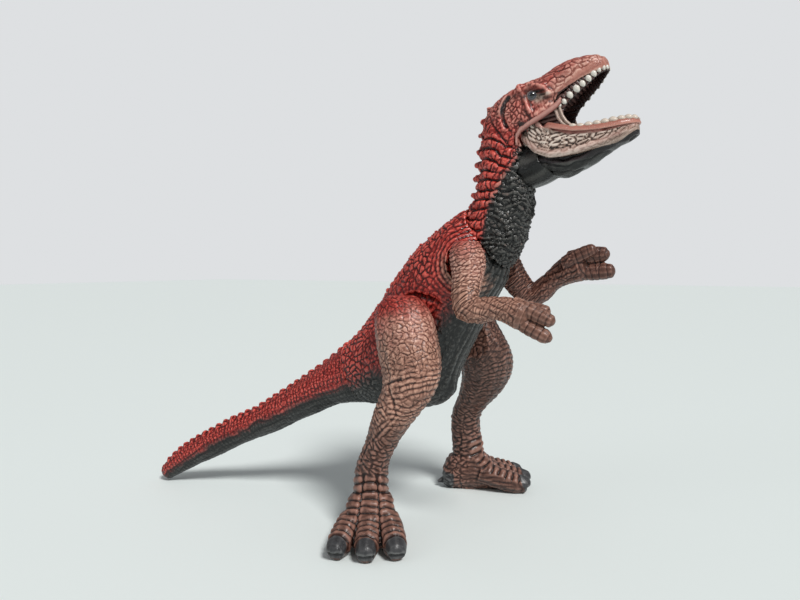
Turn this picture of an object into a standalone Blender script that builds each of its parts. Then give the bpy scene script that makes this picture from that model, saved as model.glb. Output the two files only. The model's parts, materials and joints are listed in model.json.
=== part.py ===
# A standing dinosaur figure, about 0.30 m tall: hollow soft-vinyl mouldings held together by
# hard double-flanged bushes, so that the neck, jaw, arms and legs turn.
# It faces +X, its left side is +Y, and its soles stand on z = 0.
# The working origin is on the floor below the hip axis; the last step centres the figure.

import math

import bmesh
import bpy
from mathutils import Matrix, Vector

# Overall sizes of the figure's parts
HIP_HEIGHT = 0.126
TORSO_LENGTH = 0.100
TORSO_WIDTH = 0.061
NECK_HEAD_LENGTH = 0.100
HEAD_WIDTH = 0.041
TAIL_LENGTH = 0.170
TAIL_WIDTH = 0.040
TAIL_BEND = 0.031
THIGH_DEPTH = 0.040
THIGH_WIDTH = 0.036
UPPER_ARM_LENGTH = 0.034
ARM_DEPTH = 0.020

# Walls, gaps and clearances
WALL = 0.0023
LIP_WALL = 0.0024
SEAM_GAP = 0.0003
SEAT_GAP = 0.0003
TURNING_CLEARANCE = 0.0004
OVERRUN = 0.010

# Hip joints: flat seats each side, an axis across the figure
HIP_SEAT_WIDTH = 0.0553
HIP_SEAT_RADIUS = 0.0328
HIP_STEM_RADIUS = 0.0085
HIP_FLANGE_RADIUS = 0.0120

# Shoulder joints
SHOULDER_FORWARD = 0.038
SHOULDER_RISE = 0.052
SHOULDER_SEAT_WIDTH = 0.0480
SHOULDER_SEAT_RADIUS = 0.0160
SHOULDER_STEM_RADIUS = 0.0036
SHOULDER_FLANGE_RADIUS = 0.0056
RIGHT_ARM_SWING = 0.0
LEFT_ARM_SWING = 27.0
RIGHT_ELBOW_BEND = 0.0
LEFT_ELBOW_BEND = 6.0

# Neck and tail joints, on the cut ends of the torso
NECK_STEM_RADIUS = 0.0080
NECK_FLANGE_RADIUS = 0.0108
TAIL_STEM_RADIUS = 0.0090
TAIL_FLANGE_RADIUS = 0.0120
FLANGE_THICKNESS = 0.0020

# Jaw joint: a pin across the head through two lugs of the jaw
CHEEK_SPACE = 0.0318
JAW_PIN_RADIUS = 0.0015
JAW_PIN_LENGTH = 0.0344
JAW_LUG_RADIUS = 0.0042
JAW_LUG_THICKNESS = 0.0034
JAW_CLOSING = 20.0
JAW_WALL = 0.0026

# Eyes, teeth and the inside of the mouth
EYE_RADIUS = 0.0046
EYE_SPACING = 0.0285
TOOTH_RADIUS = 0.0016
TOOTH_HEIGHT = 0.0046
GUM_THICKNESS = 0.0032
GUM_HEIGHT = 0.0026
UPPER_TEETH_PER_SIDE = 9
LOWER_TEETH_PER_SIDE = 8
PALATE_THICKNESS = 0.0026
TONGUE_THICKNESS = 0.0030

# Feet and hands
FOOT_LENGTH = 0.044
FOOT_WIDTH = 0.034
FOOT_HEIGHT = 0.030
TOE_LENGTH = 0.036
TOE_RADIUS = 0.0080
TOE_SPACING = 0.0110
TOE_SPREAD = 12.0
CLAW_RADIUS = 0.0060
CLAW_LENGTH = 0.0080
RIGHT_FOOT_HEADING = -62.0
LEFT_FOOT_HEADING = 31.0
SPUR_LENGTH = 0.009
SPUR_RADIUS = 0.0042
FINGER_LENGTH = 0.021
FINGER_RADIUS = 0.0048

# Outline tables. Torso rows run from the tail seam to the neck seam: back x, back z,
# belly x, belly z as shares of the torso length from the hip axis, then half width.
TORSO_SHARES = (
    (-0.720, -0.090, -0.520, -0.490, 0.33),
    (-0.580, 0.030, -0.280, -0.490, 0.43),
    (-0.480, 0.150, -0.050, -0.470, 0.47),
    (-0.390, 0.260, 0.110, -0.340, 0.48),
    (-0.300, 0.390, 0.190, -0.180, 0.49),
    (-0.200, 0.510, 0.270, -0.020, 0.50),
    (-0.100, 0.620, 0.360, 0.150, 0.50),
    (0.030, 0.720, 0.440, 0.300, 0.49),
    (0.130, 0.800, 0.500, 0.400, 0.46),
    (0.240, 0.870, 0.520, 0.480, 0.32),
)

# Neck and head rows run from the neck seam to the snout: back x and z, front x and z as
# shares of the neck and head length from the middle of the seam, then half width.
NECK_HEAD_SHARES = (
    (-0.140, 0.195, 0.140, -0.195, 0.475),
    (-0.115, 0.275, 0.215, -0.085, 0.455),
    (-0.095, 0.365, 0.265, 0.065, 0.430),
    (-0.085, 0.465, 0.290, 0.205, 0.420),
    (-0.075, 0.555, 0.295, 0.325, 0.420),
    (-0.060, 0.645, 0.285, 0.445, 0.430),
    (-0.020, 0.745, 0.280, 0.560, 0.455),
    (0.050, 0.835, 0.290, 0.625, 0.485),
    (0.140, 0.915, 0.345, 0.675, 0.500),
    (0.250, 0.965, 0.420, 0.725, 0.475),
    (0.360, 1.000, 0.500, 0.785, 0.415),
    (0.470, 1.045, 0.580, 0.855, 0.355),
    (0.580, 1.070, 0.660, 0.915, 0.295),
    (0.680, 1.070, 0.730, 0.955, 0.230),
    (0.740, 1.055, 0.770, 0.980, 0.170),
)
# The half rows that the roof of the mouth, the palate and the upper gum run between.
MOUTH_HALF_ROWS = (16, 27)
PALATE_HALF_ROWS = (18, 24)
UPPER_GUM_HALF_ROWS = (19, 26)

# Lower jaw rows run from its rear to the chin, on the same shares and the same origin:
# rim x and z, underside x and z, then half width as a share of the space between the cheeks.
JAW_SHARES = (
    (0.270, 0.650, 0.285, 0.520, 0.38),
    (0.330, 0.690, 0.345, 0.415, 0.485),
    (0.420, 0.685, 0.430, 0.335, 0.485),
    (0.520, 0.650, 0.530, 0.350, 0.475),
    (0.630, 0.635, 0.640, 0.410, 0.445),
    (0.740, 0.645, 0.750, 0.468, 0.395),
    (0.840, 0.660, 0.850, 0.525, 0.325),
    (0.920, 0.675, 0.930, 0.545, 0.245),
    (0.970, 0.665, 0.980, 0.570, 0.160),
)
# The half rows that the jaw's trough, the floor of the mouth and the lower gum run between.
TROUGH_HALF_ROWS = (4, 14)
FLOOR_HALF_ROWS = (5, 11)
LOWER_GUM_HALF_ROWS = (6, 13)
TROUGH_DEPTH_SHARE = 0.62
PALATE_HEIGHT_SHARE = 0.62
JAW_HINGE_SHARES = (0.290, 0.748)
EYE_SHARES = (0.330, 0.855)

# Tail rows run from the seam to the tip: top x and z, underside x and z as shares of the
# tail length from the middle of its seam, then half width and sideways bend.
TAIL_SHARES = (
    (-0.059, 0.118, 0.059, -0.118, 0.48, 0.00),
    (-0.160, 0.040, -0.094, -0.137, 0.42, 0.05),
    (-0.242, -0.018, -0.200, -0.187, 0.37, 0.13),
    (-0.342, -0.083, -0.300, -0.231, 0.32, 0.20),
    (-0.430, -0.139, -0.395, -0.281, 0.29, 0.28),
    (-0.530, -0.201, -0.489, -0.320, 0.25, 0.37),
    (-0.636, -0.248, -0.589, -0.363, 0.23, 0.48),
    (-0.736, -0.301, -0.695, -0.419, 0.21, 0.61),
    (-0.842, -0.360, -0.807, -0.472, 0.19, 0.75),
    (-0.936, -0.424, -0.907, -0.525, 0.17, 0.87),
    (-0.995, -0.483, -0.971, -0.560, 0.14, 0.95),
)

# Leg rows run from the top of the thigh to the sole: height as a share of the hip height,
# then depth and width as shares of the thigh's.
LEG_HEIGHT_SHARES = (1.240, 1.203, 1.135, 1.030, 0.930, 0.840, 0.760, 0.680, 0.595, 0.500, 0.405, 0.330, 0.240,
                     0.120, -0.050)
LEG_DEPTH_SHARES = (0.22, 0.38, 0.48, 0.51, 0.51, 0.47, 0.43, 0.395, 0.335, 0.275, 0.265, 0.275, 0.285, 0.250,
                    0.200)
LEG_WIDTH_SHARES = (0.22, 0.36, 0.46, 0.51, 0.50, 0.47, 0.43, 0.40, 0.35, 0.300, 0.290, 0.300, 0.310, 0.280,
                    0.220)
LEFT_LEG_SIZE_SHARE = 1.08
RIGHT_LEG_FORWARD_SHARES = (-0.045, -0.040, -0.025, 0.000, 0.025, 0.040, 0.025, -0.020, -0.070, -0.122, -0.168,
                            -0.190, -0.190, -0.185, -0.185)
RIGHT_LEG_SIDE_SHARES = (0.285, 0.292, 0.302, 0.315, 0.328, 0.340, 0.350, 0.355, 0.355, 0.353, 0.350, 0.350,
                         0.355, 0.360, 0.360)
LEFT_LEG_FORWARD_SHARES = (-0.015, -0.010, 0.022, 0.066, 0.112, 0.132, 0.118, 0.074, 0.018, -0.060, -0.088,
                           -0.087, -0.085, -0.080, -0.080)
LEFT_LEG_SIDE_SHARES = (0.285, 0.290, 0.300, 0.314, 0.344, 0.388, 0.434, 0.482, 0.520, 0.556, 0.587, 0.607,
                        0.620, 0.630, 0.630)

# Foot rows run from the heel forward: place along the foot, height of the middle, then half
# height and half width. Toe rows: place along the toe, then height and size in toe radii.
FOOT_SHARES = (
    (-0.46, 0.30, 0.22, 0.22),
    (-0.34, 0.42, 0.42, 0.34),
    (-0.05, 0.52, 0.56, 0.43),
    (0.22, 0.46, 0.50, 0.48),
    (0.42, 0.34, 0.36, 0.50),
    (0.58, 0.26, 0.24, 0.46),
)
TOE_SHARES = (
    (0.00, 1.80, 0.95),
    (0.30, 1.50, 1.05),
    (0.62, 1.12, 1.04),
    (0.88, 0.88, 0.96),
    (1.04, 0.78, 0.76),
)
CLAW_SHARES = (
    (0.60, -0.15, 0.72, 0.80),
    (1.00, -0.45, 0.18, 0.18),
)
# Each toe: across the foot in toe spacings, then its length as a share of the middle toe's.
TOE_PLACE_SHARES = (
    (-1, 0.92),
    (0, 1.00),
    (1, 0.92),
)
TOE_DROP_SHARE = 0.30
TOE_START_SHARE = 0.90
HEEL_SHARE = 0.36
# Spur rows: back from the heel in spur lengths, rise and size in spur radii.
SPUR_SHARES = (
    (-1.00, 1.60, 1.30),
    (0.00, 1.60, 1.00),
    (1.00, 1.00, 0.24),
)
FOOT_UPPER_POWER = 2.2
FOOT_LOWER_POWER = 3.0

# Arm rows run from the shoulder to the wrist and palm: forward and rise as shares of the
# upper arm length from the shoulder axis, the way along the arm in degrees, depth and width.
# The last number is how far the row lies outward, as a share of the arm's depth.
ARM_SHARES = (
    (-0.050, 0.370, -90.0, 0.36, 0.34, 0.24),
    (-0.040, 0.200, -90.0, 0.53, 0.52, 0.25),
    (0.000, -0.030, -90.0, 0.55, 0.56, 0.27),
    (0.015, -0.290, -88.0, 0.48, 0.52, 0.36),
    (0.030, -0.590, -82.0, 0.45, 0.44, 0.58),
    (0.110, -0.810, -42.0, 0.47, 0.41, 0.74),
    (0.350, -0.860, 0.0, 0.40, 0.39, 0.77),
    (0.620, -0.810, 4.0, 0.35, 0.36, 0.75),
    (0.880, -0.840, -14.0, 0.40, 0.43, 0.72),
    (1.090, -0.910, -20.0, 0.45, 0.46, 0.70),
)
# The rows past the elbow turn about this point when the elbow bends.
ELBOW_SHARES = (0.080, -0.800)
FOREARM_START_SHARE = 0.200
# Finger rows: start forward and rise, how far outward as a share of the arm's depth,
# heading, then length and radius as shares of the finger's.
FINGER_SHARES = (
    (1.130, -0.780, 0.70, -24.0, 1.00, 1.00),
    (1.080, -1.040, 0.70, -26.0, 1.02, 1.00),
    (1.040, -0.770, 0.35, -10.0, 0.85, 0.84),
)

# Finger rows: place along the finger, then size in finger radii.
FINGER_ROW_SHARES = (
    (-0.30, 0.85),
    (0.30, 1.00),
    (0.75, 0.92),
)
WRIST_DOME_SHARE = 0.30
FINGER_DOME_SHARE = 0.25

# The hollow of each shell
HOLLOW_LEG_ROWS = (2, 11)
HOLLOW_TAIL_ROWS = (0, 8)
HOLLOW_NECK_ROWS = (0, 8)
LEAST_HOLLOW_SHARE = 0.33
NECK_HOLLOW_DROP_SHARE = 0.12
NECK_HOLLOW_DEPTH_SHARE = 0.82
NECK_HOLLOW_WIDTH_SHARE = 0.92

# Rounded ends, boxy rings and the jaw's lug arms
TAIL_DOME_SHARE = 0.16
SNOUT_DOME_SHARE = 0.03
CHIN_DOME_SHARE = 0.80
LAST_RING_SHARE = 0.5
HEAD_LOWER_POWER = 3.2
JAW_UPPER_POWER = 2.6
BOX_POWER = 6.0
BAR_POWER = 4.0
TOOTH_TIP_SHARE = 0.70
LUG_ARM_ROW = 2
LUG_ARM_REACH_SHARE = 0.20
LUG_ARM_START_SHARE = 0.95
LUG_ARM_END_SHARE = 1.40
LUG_ARM_WIDTH_SHARE = 0.98

# Surface colours, linear, and roughness
VINYL_COLOURS = {
    "red_vinyl": (0.31, 0.035, 0.03, 0.45),
    "tan_vinyl": (0.29, 0.17, 0.14, 0.50),
    "jaw_vinyl": (0.40, 0.30, 0.25, 0.45),
    "mouth_vinyl": (0.04, 0.015, 0.015, 0.40),
    "tooth_plastic": (0.80, 0.78, 0.70, 0.25),
    "eye_plastic": (0.02, 0.02, 0.03, 0.08),
    "hard_plastic": (0.05, 0.05, 0.05, 0.50),
}

# Faces of each moulding
SMOOTH_ANGLE = 40.0
BAR_SIDES = 8
TORSO_SIDES = 20
HEAD_SIDES = 20
TAIL_SIDES = 14
LEG_SIDES = 14
ARM_SIDES = 12
TOE_SIDES = 9
TOOTH_SIDES = 6
TURNED_STEPS = 16
PIN_STEPS = 12
SMALLEST_MERGE = 0.00001


def remove_everything():
    for thing in list(bpy.data.objects):
        bpy.data.objects.remove(thing, do_unlink=True)
    for group in list(bpy.data.collections):
        bpy.data.collections.remove(group)


def make_material(name, color, roughness):
    material = bpy.data.materials.new(name)
    material.use_nodes = True
    shader = material.node_tree.nodes["Principled BSDF"]
    shader.inputs["Base Color"].default_value = (*color, 1.0)
    shader.inputs["Roughness"].default_value = roughness
    return material


def joint_point(name, point, parent=None):
    """An empty on a joint's axis. It keeps its place in the working frame as a property."""
    empty = bpy.data.objects.new(name, None)
    bpy.context.scene.collection.objects.link(empty)
    empty.empty_display_size = WALL
    start = Vector(parent["place"]) if parent else Vector()
    empty.parent = parent
    empty.location = point - start
    empty["place"] = point
    return empty


def object_from(bm, name, joint, material=None):
    """The finished bmesh as an object that its joint's empty carries."""
    bmesh.ops.recalc_face_normals(bm, faces=bm.faces)
    mesh = bpy.data.meshes.new(name)
    bm.to_mesh(mesh)
    bm.free()
    mesh.shade_smooth()
    mesh.set_sharp_from_angle(angle=math.radians(SMOOTH_ANGLE))
    thing = bpy.data.objects.new(name, mesh)
    bpy.context.scene.collection.objects.link(thing)
    thing.parent = joint
    thing.matrix_parent_inverse = Matrix.Translation(-Vector(joint["place"]))
    if material:
        mesh.materials.append(material)
    return thing


def combine(target, other, operation):
    """Add other to target, or cut it away, with one Boolean for each operation, and hide other."""
    other.hide_render = True
    other.display_type = "WIRE"
    label = f"{target.name}_{operation.lower()}"
    group = bpy.data.collections.get(label)
    if not group:
        group = bpy.data.collections.new(label)
        modifier = target.modifiers.new(label, "BOOLEAN")
        modifier.operation = operation
        modifier.solver = "EXACT"
        modifier.operand_type = "COLLECTION"
        modifier.collection = group
    group.objects.link(other)


def cut(target, *cutters):
    for cutter in cutters:
        combine(target, cutter, "DIFFERENCE")


def fuse(target, *others):
    for other in others:
        combine(target, other, "UNION")


# A section is a centre, a vector to the ring's top and a vector to its side.
def section_between(top, bottom, half_width):
    return ((top + bottom) / 2, (top - bottom) / 2, Vector((0, half_width, 0)))


def section_across(centre, tangent, half_depth, half_width):
    along = tangent.normalized()
    side = (Vector((0, 1, 0)) - along * along.y).normalized()
    return (centre, side.cross(along) * half_depth, side * half_width)


def smooth_between(rows, steps):
    """Rows of equal-length number or vector tuples, with steps on a smooth curve between each pair."""
    result = []
    for index in range(len(rows) - 1):
        before = rows[max(index - 1, 0)]
        first = rows[index]
        second = rows[index + 1]
        after = rows[min(index + 2, len(rows) - 1)]
        for step in range(steps):
            t = step / steps
            blended = []
            for p, q, r, s in zip(before, first, second, after):
                slope_in = (r - p) / 2
                slope_out = (s - q) / 2
                blended.append(q * (2 * t**3 - 3 * t**2 + 1) + slope_in * (t**3 - 2 * t**2 + t)
                               + r * (3 * t**2 - 2 * t**3) + slope_out * (t**3 - t**2))
            result.append(tuple(blended))
    result.append(rows[-1])
    return result


def domed(sections, length, rings=2):
    """The sections with a rounded end of the given length after the last one."""
    centre, top, side = sections[-1]
    way = top.cross(side).normalized()
    if way.dot(centre - sections[-2][0]) < 0:
        way = -way
    result = list(sections)
    for ring in range(1, rings + 1):
        angle = math.pi / 2 * ring / (rings + LAST_RING_SHARE)
        size = math.cos(angle)
        result.append((centre + way * length * math.sin(angle), top * size, side * size))
    return result


def squared(value, power):
    return math.copysign(abs(value) ** (2 / power), value)


def loft(name, sections, joint, sides, material=None, upper_power=2.0, lower_power=2.0):
    """A closed skin through the sections. A power above 2 makes that half of each ring boxier."""
    bm = bmesh.new()
    loops = []
    for index, (centre, top, side) in enumerate(sections):
        end = index in (0, len(sections) - 1)
        made = bmesh.ops.create_circle(bm, cap_ends=end, segments=sides, radius=1.0)
        ring = made["verts"]
        for vert in ring:
            power = upper_power if vert.co.y > 0 else lower_power
            vert.co = centre + side * squared(vert.co.x, power) + top * squared(vert.co.y, power)
        loops.append({edge for vert in ring for edge in vert.link_edges if edge.other_vert(vert) in ring})
    for first, second in zip(loops, loops[1:]):
        bmesh.ops.bridge_loops(bm, edges=list(first | second))
    return object_from(bm, name, joint, material)


def turned(name, profile, centre, axis, joint, steps, material=None):
    """A solid of revolution. The profile is (radius, distance along the axis) from end to end."""
    bm = bmesh.new()
    turn = axis.to_track_quat("Z", "Y").to_matrix()
    points = [(0.0, profile[0][1])] + list(profile) + [(0.0, profile[-1][1])]
    verts = [bm.verts.new(centre + turn @ Vector((radius, 0, height))) for radius, height in points]
    edges = [bm.edges.new(pair) for pair in zip(verts, verts[1:])]
    bmesh.ops.spin(bm, geom=verts + edges, cent=centre, axis=axis, angle=math.tau, steps=steps, use_merge=True)
    bmesh.ops.remove_doubles(bm, verts=bm.verts, dist=SMALLEST_MERGE)
    return object_from(bm, name, joint, material)


def bush(name, centre, axis, stem_radius, flange_radius, joint, material=None, clearance=0.0):
    """A double-flanged bush across a seam. With a clearance, it is the space that the bush turns in."""
    stem = stem_radius + clearance
    flange = flange_radius + clearance
    inner = WALL + SEAM_GAP / 2 + SEAT_GAP - clearance
    outer = WALL + SEAM_GAP / 2 + SEAT_GAP + FLANGE_THICKNESS + clearance
    profile = ((flange, -outer), (flange, -inner), (stem, -inner), (stem, inner), (flange, inner), (flange, outer))
    return turned(name, profile, centre, axis, joint, TURNED_STEPS, material)


def bush_space(name, centre, axis, stem_radius, flange_radius, joint):
    return bush(name, centre, axis, stem_radius, flange_radius, joint, clearance=SEAT_GAP)


def disc(name, centre, axis, radius, start, end, joint, steps=TURNED_STEPS, material=None):
    return turned(name, ((radius, start), (radius, end)), centre, axis, joint, steps, material)


def shrunk(sections, wall):
    """The inner sections of a hollow moulding with the given wall."""
    result = []
    for centre, top, side in sections:
        depth = top.length
        width = side.length
        result.append((centre, top * max(1 - wall / depth, LEAST_HOLLOW_SHARE),
                       side * max(1 - wall / width, LEAST_HOLLOW_SHARE)))
    return result


def torso_sections():
    hip = Vector((0, 0, HIP_HEIGHT))
    rows = []
    for back_x, back_z, belly_x, belly_z, width in TORSO_SHARES:
        back = hip + Vector((back_x, 0, back_z)) * TORSO_LENGTH
        belly = hip + Vector((belly_x, 0, belly_z)) * TORSO_LENGTH
        rows.append(section_between(back, belly, width * TORSO_WIDTH))
    return rows


def seam_of(section, outward):
    """The middle of a seam and its normal, on the side where outward lies."""
    centre, top, side = section
    normal = top.cross(side).normalized()
    return centre, normal if normal.dot(outward) > 0 else -normal


def moved_section(section, offset):
    return (section[0] + offset, section[1], section[2])


def neck_head_sections(origin):
    rows = []
    for back_x, back_z, front_x, front_z, width in NECK_HEAD_SHARES:
        back = origin + Vector((back_x, 0, back_z)) * NECK_HEAD_LENGTH
        front = origin + Vector((front_x, 0, front_z)) * NECK_HEAD_LENGTH
        rows.append(section_between(back, front, width * HEAD_WIDTH))
    return rows


def jaw_sections(origin, grown=0.0):
    """The lower jaw's rings, or the larger rings of the space that it turns in."""
    rows = []
    for rim_x, rim_z, under_x, under_z, width in JAW_SHARES:
        rim = origin + Vector((rim_x, 0, rim_z)) * NECK_HEAD_LENGTH
        under = origin + Vector((under_x, 0, under_z)) * NECK_HEAD_LENGTH
        over = (rim - under).normalized() * grown
        rows.append(section_between(rim + over, under - over, width * CHEEK_SPACE + grown))
    return rows


def turned_sections(sections, pivot, degrees):
    """The sections turned about a pivot, upward at the front."""
    turn = Matrix.Rotation(math.radians(-degrees), 3, "Y")
    return [(pivot + turn @ (centre - pivot), turn @ top, turn @ side) for centre, top, side in sections]


def tail_sections(origin):
    rows = []
    for top_x, top_z, under_x, under_z, width, bend in TAIL_SHARES:
        shift = Vector((0, -bend * TAIL_BEND, 0))
        top = origin + Vector((top_x, 0, top_z)) * TAIL_LENGTH + shift
        under = origin + Vector((under_x, 0, under_z)) * TAIL_LENGTH + shift
        rows.append(section_between(top, under, width * TAIL_WIDTH))
    return rows


def build_torso(joint, material):
    rows = torso_sections()
    neck_centre, neck_axis = seam_of(rows[-1], Vector((1, 0, 0)))
    tail_centre, tail_axis = seam_of(rows[0], Vector((-1, 0, 0)))
    outer = smooth_between(rows, 2)
    torso = loft("torso_shell", outer, joint, TORSO_SIDES, material)
    end_wall = WALL + SEAM_GAP
    inner = shrunk(rows, WALL)
    inner[0] = moved_section(inner[0], -tail_axis * end_wall)
    inner[-1] = moved_section(inner[-1], -neck_axis * end_wall)
    hip_inside = HIP_SEAT_WIDTH / 2 - WALL - FLANGE_THICKNESS / 2
    shoulder_inside = SHOULDER_SEAT_WIDTH / 2 - WALL - FLANGE_THICKNESS / 2
    limited = [(centre, top, side * min(side.length, hip_inside) / side.length) for centre, top, side in inner]
    for index in (-3, -2):
        centre, top, side = limited[index]
        limited[index] = (centre, top, side * min(side.length, shoulder_inside) / side.length)
    cut(torso, loft("torso_hollow", limited, joint, TAIL_SIDES))
    return torso, neck_centre, neck_axis, tail_centre, tail_axis


def build_limb_seats(torso, joint, label, side, shoulder):
    """Flat seats and bush spaces on one side of the torso."""
    outward = Vector((0, side, 0))
    hip_seat = Vector((0, side * HIP_SEAT_WIDTH / 2, HIP_HEIGHT))
    shoulder_seat = Vector((shoulder.x, side * SHOULDER_SEAT_WIDTH / 2, shoulder.z))
    cut(torso,
        disc(f"hip_seat_{label}", hip_seat, outward, HIP_SEAT_RADIUS, 0.0, OVERRUN, joint),
        bush_space(f"torso_hip_space_{label}", hip_seat + outward * SEAM_GAP / 2, outward,
                   HIP_STEM_RADIUS, HIP_FLANGE_RADIUS, joint),
        disc(f"shoulder_seat_{label}", shoulder_seat, outward, SHOULDER_SEAT_RADIUS, 0.0, OVERRUN, joint),
        bush_space(f"torso_shoulder_space_{label}", shoulder_seat + outward * SEAM_GAP / 2, outward,
                   SHOULDER_STEM_RADIUS, SHOULDER_FLANGE_RADIUS, joint))
    return hip_seat, shoulder_seat


def build_tail(joint, origin, axis, materials):
    rows = tail_sections(origin)
    rows[0] = moved_section(rows[0], axis * SEAM_GAP)
    outer = domed(smooth_between(rows, 2), TAIL_WIDTH * TAIL_DOME_SHARE)
    tail = loft("tail_shell", outer, joint, TAIL_SIDES, materials["red_vinyl"])
    inner = shrunk(rows[HOLLOW_TAIL_ROWS[0]:HOLLOW_TAIL_ROWS[1]], WALL)
    inner[0] = moved_section(inner[0], axis * WALL)
    seam = origin + axis * SEAM_GAP / 2
    cut(tail,
        loft("tail_hollow", inner, joint, ARM_SIDES),
        bush_space("tail_bush_space", seam, axis, TAIL_STEM_RADIUS, TAIL_FLANGE_RADIUS, joint))
    bush("tail_bush", seam, axis, TAIL_STEM_RADIUS, TAIL_FLANGE_RADIUS, joint, materials["hard_plastic"])


def foot_way(heading):
    angle = math.radians(heading)
    return Vector((math.cos(angle), math.sin(angle), 0))


def foot_sections(ankle, way):
    """The block of the foot, from the heel to the roots of the toes."""
    top = Vector((0, 0, 1))
    return [section_across(ankle + way * along * FOOT_LENGTH + top * height * FOOT_HEIGHT, way,
                           half_height * FOOT_HEIGHT, half_width * FOOT_WIDTH)
            for along, height, half_height, half_width in FOOT_SHARES]


def toe_sections(start, way, share):
    """A toe from the instep to the tip of its claw."""
    length = TOE_LENGTH * share
    top = Vector((0, 0, 1))
    down = way - top * TOE_DROP_SHARE
    rows = [section_across(start + way * along * length + top * height * TOE_RADIUS, down,
                           TOE_RADIUS * size, TOE_RADIUS * size)
            for along, height, size in TOE_SHARES]
    root = rows[-1][0]
    for along, rise, half_height, half_width in CLAW_SHARES:
        rows.append(section_across(root + way * along * CLAW_LENGTH + top * rise * CLAW_RADIUS, down,
                                   CLAW_RADIUS * half_height, CLAW_RADIUS * half_width))
    return rows


def spur_sections(heel, way):
    """The short claw that points back from the heel."""
    top = Vector((0, 0, 1))
    return [section_across(heel - way * back * SPUR_LENGTH + top * rise * SPUR_RADIUS, -way,
                           SPUR_RADIUS * size, SPUR_RADIUS * size)
            for back, rise, size in SPUR_SHARES]


def leg_hollow_sections(rows, face, outward):
    """The leg's inner rings, a wall away from its outside and from its flat hip face."""
    result = []
    for centre, top, side in rows:
        out = (centre - face).dot(outward)
        far = out + side.length - WALL
        near = max(out - side.length, 0.0) + WALL + SEAT_GAP
        shift = (far + near) / 2 - out
        depth = top.length * math.sqrt(1 - (shift / side.length) ** 2) - WALL
        result.append((centre + outward * shift, top.normalized() * depth, side.normalized() * (far - near) / 2))
    return result


def build_leg(label, side, joint, hip_seat, forward_shares, side_shares, size, heading, materials):
    outward = Vector((0, side, 0))
    face = hip_seat + outward * SEAM_GAP
    seam = hip_seat + outward * SEAM_GAP / 2
    centres = [Vector((forward, side * across, height)) * HIP_HEIGHT for forward, across, height in
               zip(forward_shares, side_shares, LEG_HEIGHT_SHARES)]
    rows = [(centre, Vector((depth * size * THIGH_DEPTH, 0, 0)), Vector((0, width * size * THIGH_WIDTH, 0)))
            for centre, depth, width in zip(centres, LEG_DEPTH_SHARES, LEG_WIDTH_SHARES)]
    leg = loft(f"leg_{label}", smooth_between(rows, 2), joint, LEG_SIDES, materials["tan_vinyl"])
    way = foot_way(heading)
    across = Vector((0, 0, 1)).cross(way)
    ankle = Vector((centres[-2].x, centres[-2].y, 0))
    fuse(leg, loft(f"foot_{label}", smooth_between(foot_sections(ankle, way), 2), joint, ARM_SIDES, None,
                   FOOT_UPPER_POWER, FOOT_LOWER_POWER))
    for number, (place, length_share) in enumerate(TOE_PLACE_SHARES):
        turn = Matrix.Rotation(math.radians(place * TOE_SPREAD), 3, "Z")
        start = ankle + across * place * TOE_SPACING + way * TOE_RADIUS * TOE_START_SHARE
        fuse(leg, loft(f"toe_{number}_{label}", toe_sections(start, turn @ way, length_share), joint, TOE_SIDES))
    heel = ankle - way * FOOT_LENGTH * HEEL_SHARE
    fuse(leg, loft(f"spur_{label}", spur_sections(heel, way), joint, TOE_SIDES))
    hollow = leg_hollow_sections(rows[HOLLOW_LEG_ROWS[0]:HOLLOW_LEG_ROWS[1]], face, outward)
    cut(leg,
        disc(f"floor_{label}", ankle, Vector((0, 0, -1)), HIP_HEIGHT, 0.0, OVERRUN, joint),
        disc(f"hip_face_{label}", face, -outward, HIP_HEIGHT / 2, 0.0, HIP_SEAT_WIDTH / 2, joint),
        loft(f"leg_hollow_{label}", hollow, joint, ARM_SIDES),
        bush_space(f"leg_hip_space_{label}", seam, outward, HIP_STEM_RADIUS, HIP_FLANGE_RADIUS, joint))
    bush(f"hip_bush_{label}", seam, outward, HIP_STEM_RADIUS, HIP_FLANGE_RADIUS, joint,
         materials["hard_plastic"])


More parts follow.
